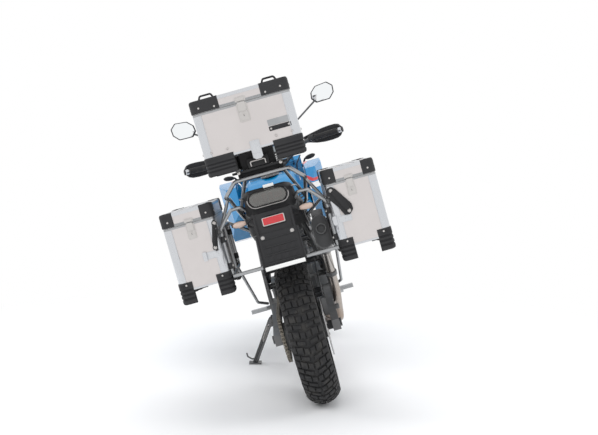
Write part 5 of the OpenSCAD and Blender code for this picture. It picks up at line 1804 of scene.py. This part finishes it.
# %% Side stand
pivot, foot = Vector((-180, 600, 312)), Vector((-331, 700, 91.8))
way = (foot - pivot).normalized()
stand = Shape("side_stand_parts", "dark_steel", "zinc_steel", "rack_steel")
flat = Vector((0, 0, 1)).cross(way).normalized()
stand.rod(pivot + way * 34, foot - way * 2, 23, 2, 0, 28)
stand.turned([(0, 0), (15, 0), (15, 8), (12, 12), (0, 12)], pivot + way * 24, way, 28, 0)
tang = foot - way * 34
stand.tube([tang, tang + Vector((-26, -14, 6)), tang + Vector((-44, -18, 26)),
            tang + Vector((-44, -18, 44))], 8, 10, 0, 12)
coil(stand, pivot + way * 40 + Vector((-4, -17, 2)), pivot + way * 128 + Vector((-2, -16, 2)), 15, 2.6, 14,
     1)
stand.rod(pivot + way * 30 + Vector((-4, -17, 2)), pivot + way * 40 + Vector((-4, -17, 2)), 4, 0.5, 1)
stand.tube([pivot + way * 128 + Vector((-2, -16, 2)), pivot + way * 142 + Vector((0, -12, 1)),
            pivot + way * 142], 4, 5, 1, 10)
make(stand, "side_stand", slot="dark_steel")

# %% CAD nodes without a bevel
PLAIN = {"windscreen"}

# %% [markdown]
# ## CAD pieces that stay
# Some CAD nodes already have their true shape. They keep it and get a finish, and a small bevel
# rounds their edges.

# %% Finishes and bevels on the CAD nodes
shown = [name for name in nodes if not nodes[name].hide_render]
for name in shown:
    piece = nodes[name]
    slot = piece.data.materials[0].name.split(".")[0] if piece.data.materials else "black_plastic"
    piece.data.materials.clear()
    piece.data.materials.append(FINISH[slot])
    weld = piece.modifiers.new("weld", "WELD")
    weld.merge_threshold = 0.00001
    if name not in PLAIN:
        bevel = piece.modifiers.new("bevel", "BEVEL")
        bevel.width = 0.0012
        bevel.segments = 2
        bevel.limit_method = "ANGLE"
        bevel.angle_limit = math.radians(40)
print("kept", shown)

# %% [markdown]
# ## Stage
# A pale floor, plain level lights and a white background. The camera stands behind the bike at
# chest height and looks slightly down.

# %% Floor, light and camera
scene = bpy.context.scene
scene.view_settings.view_transform = "Standard"
scene.view_settings.look = "None"


def stage_finish():
    """Pale near the bike and plain white further out, where it meets the background."""
    m = Finish("floor")
    near = m.node("ShaderNodeTexCoord")["Object"]
    away = m.node("ShaderNodeVectorMath", {"operation": "LENGTH"}, {0: near})["Value"].step(0.9, 2.6)
    grain = m.noise(3, 4)
    pale = {"Base Color": (0.93, 0.93, 0.93), "Roughness": 0.9 + (grain - 0.5) * 0.1}
    matt = m.node("ShaderNodeBsdfPrincipled", None, pale)[0]
    white = m.node("ShaderNodeEmission", None, {"Color": (1, 1, 1), "Strength": 1.0})[0]
    both = m.node("ShaderNodeMixShader", None, {0: away, 1: matt, 2: white})[0]
    m.node("ShaderNodeOutputMaterial", None, {"Surface": both})
    return m.material


bpy.ops.mesh.primitive_plane_add(size=60, location=(0, 0, -0.0005))
floor = bpy.context.object
floor.name = "floor"
floor.data.materials.append(stage_finish())

world = bpy.data.worlds.new("white_room")
scene.world = world
world.use_nodes = True
air = Tree(world.node_tree)
air.tree.nodes.clear()
light = air.node("ShaderNodeLightPath")
white = air.node("ShaderNodeBackground", None, {"Color": (1, 1, 1), "Strength": 1.0})
soft = air.node("ShaderNodeBackground", None, {"Color": (0.92, 0.95, 1.0), "Strength": 0.55})
plain = (light["Is Camera Ray"] + light["Is Glossy Ray"] + light["Is Transmission Ray"]).clamp()
both = air.node("ShaderNodeMixShader", None, {0: plain, 1: soft[0], 2: white[0]})
air.node("ShaderNodeOutputWorld", None, {"Surface": both[0]})


def lamp(name, at, to, size, power, colour=(1, 1, 1)):
    data = bpy.data.lights.new(name, "AREA")
    data.shape = "RECTANGLE"
    data.size, data.size_y = size
    data.energy = power
    data.color = colour
    made = bpy.data.objects.new(name, data)
    scene.collection.objects.link(made)
    made.location = at
    made.rotation_euler = (Vector(to) - Vector(at)).to_track_quat("-Z", "Y").to_euler()
    made.visible_camera = False
    made.visible_glossy = False
    return made


lamp("back_light", (-0.8, -4.5, 3.2), (0, -0.6, 0.8), (3.0, 2.0), 95)
lamp("left_light", (-4.2, -0.6, 2.4), (0, 0, 0.7), (2.4, 2.4), 60)
lamp("right_light", (4.2, -0.4, 2.6), (0, 0, 0.7), (2.4, 2.4), 60)
lamp("top_light", (0, 0.4, 4.6), (0, 0, 0.6), (3.0, 3.0), 70)
lamp("front_light", (0.4, 4.8, 2.2), (0, 0.6, 0.7), (2.4, 2.0), 60)

camera = bpy.data.cameras.new("camera")
CAMERA_AT = (0.1216, -4.396, 1.05)
LOOKS_DOWN, LOOKS_RIGHT = 3.77, 0.61
camera.lens = 50.75
camera.sensor_width = 36
viewer = bpy.data.objects.new("camera", camera)
viewer.location = CAMERA_AT
viewer.rotation_euler = (math.radians(90 - LOOKS_DOWN), 0, math.radians(-LOOKS_RIGHT))
scene.collection.objects.link(viewer)
scene.camera = viewer

# %% Sizes and the end
print("triangles in all", sum(TRIANGLES.values()), "largest", max(TRIANGLES.items(), key=lambda r: r[1]))
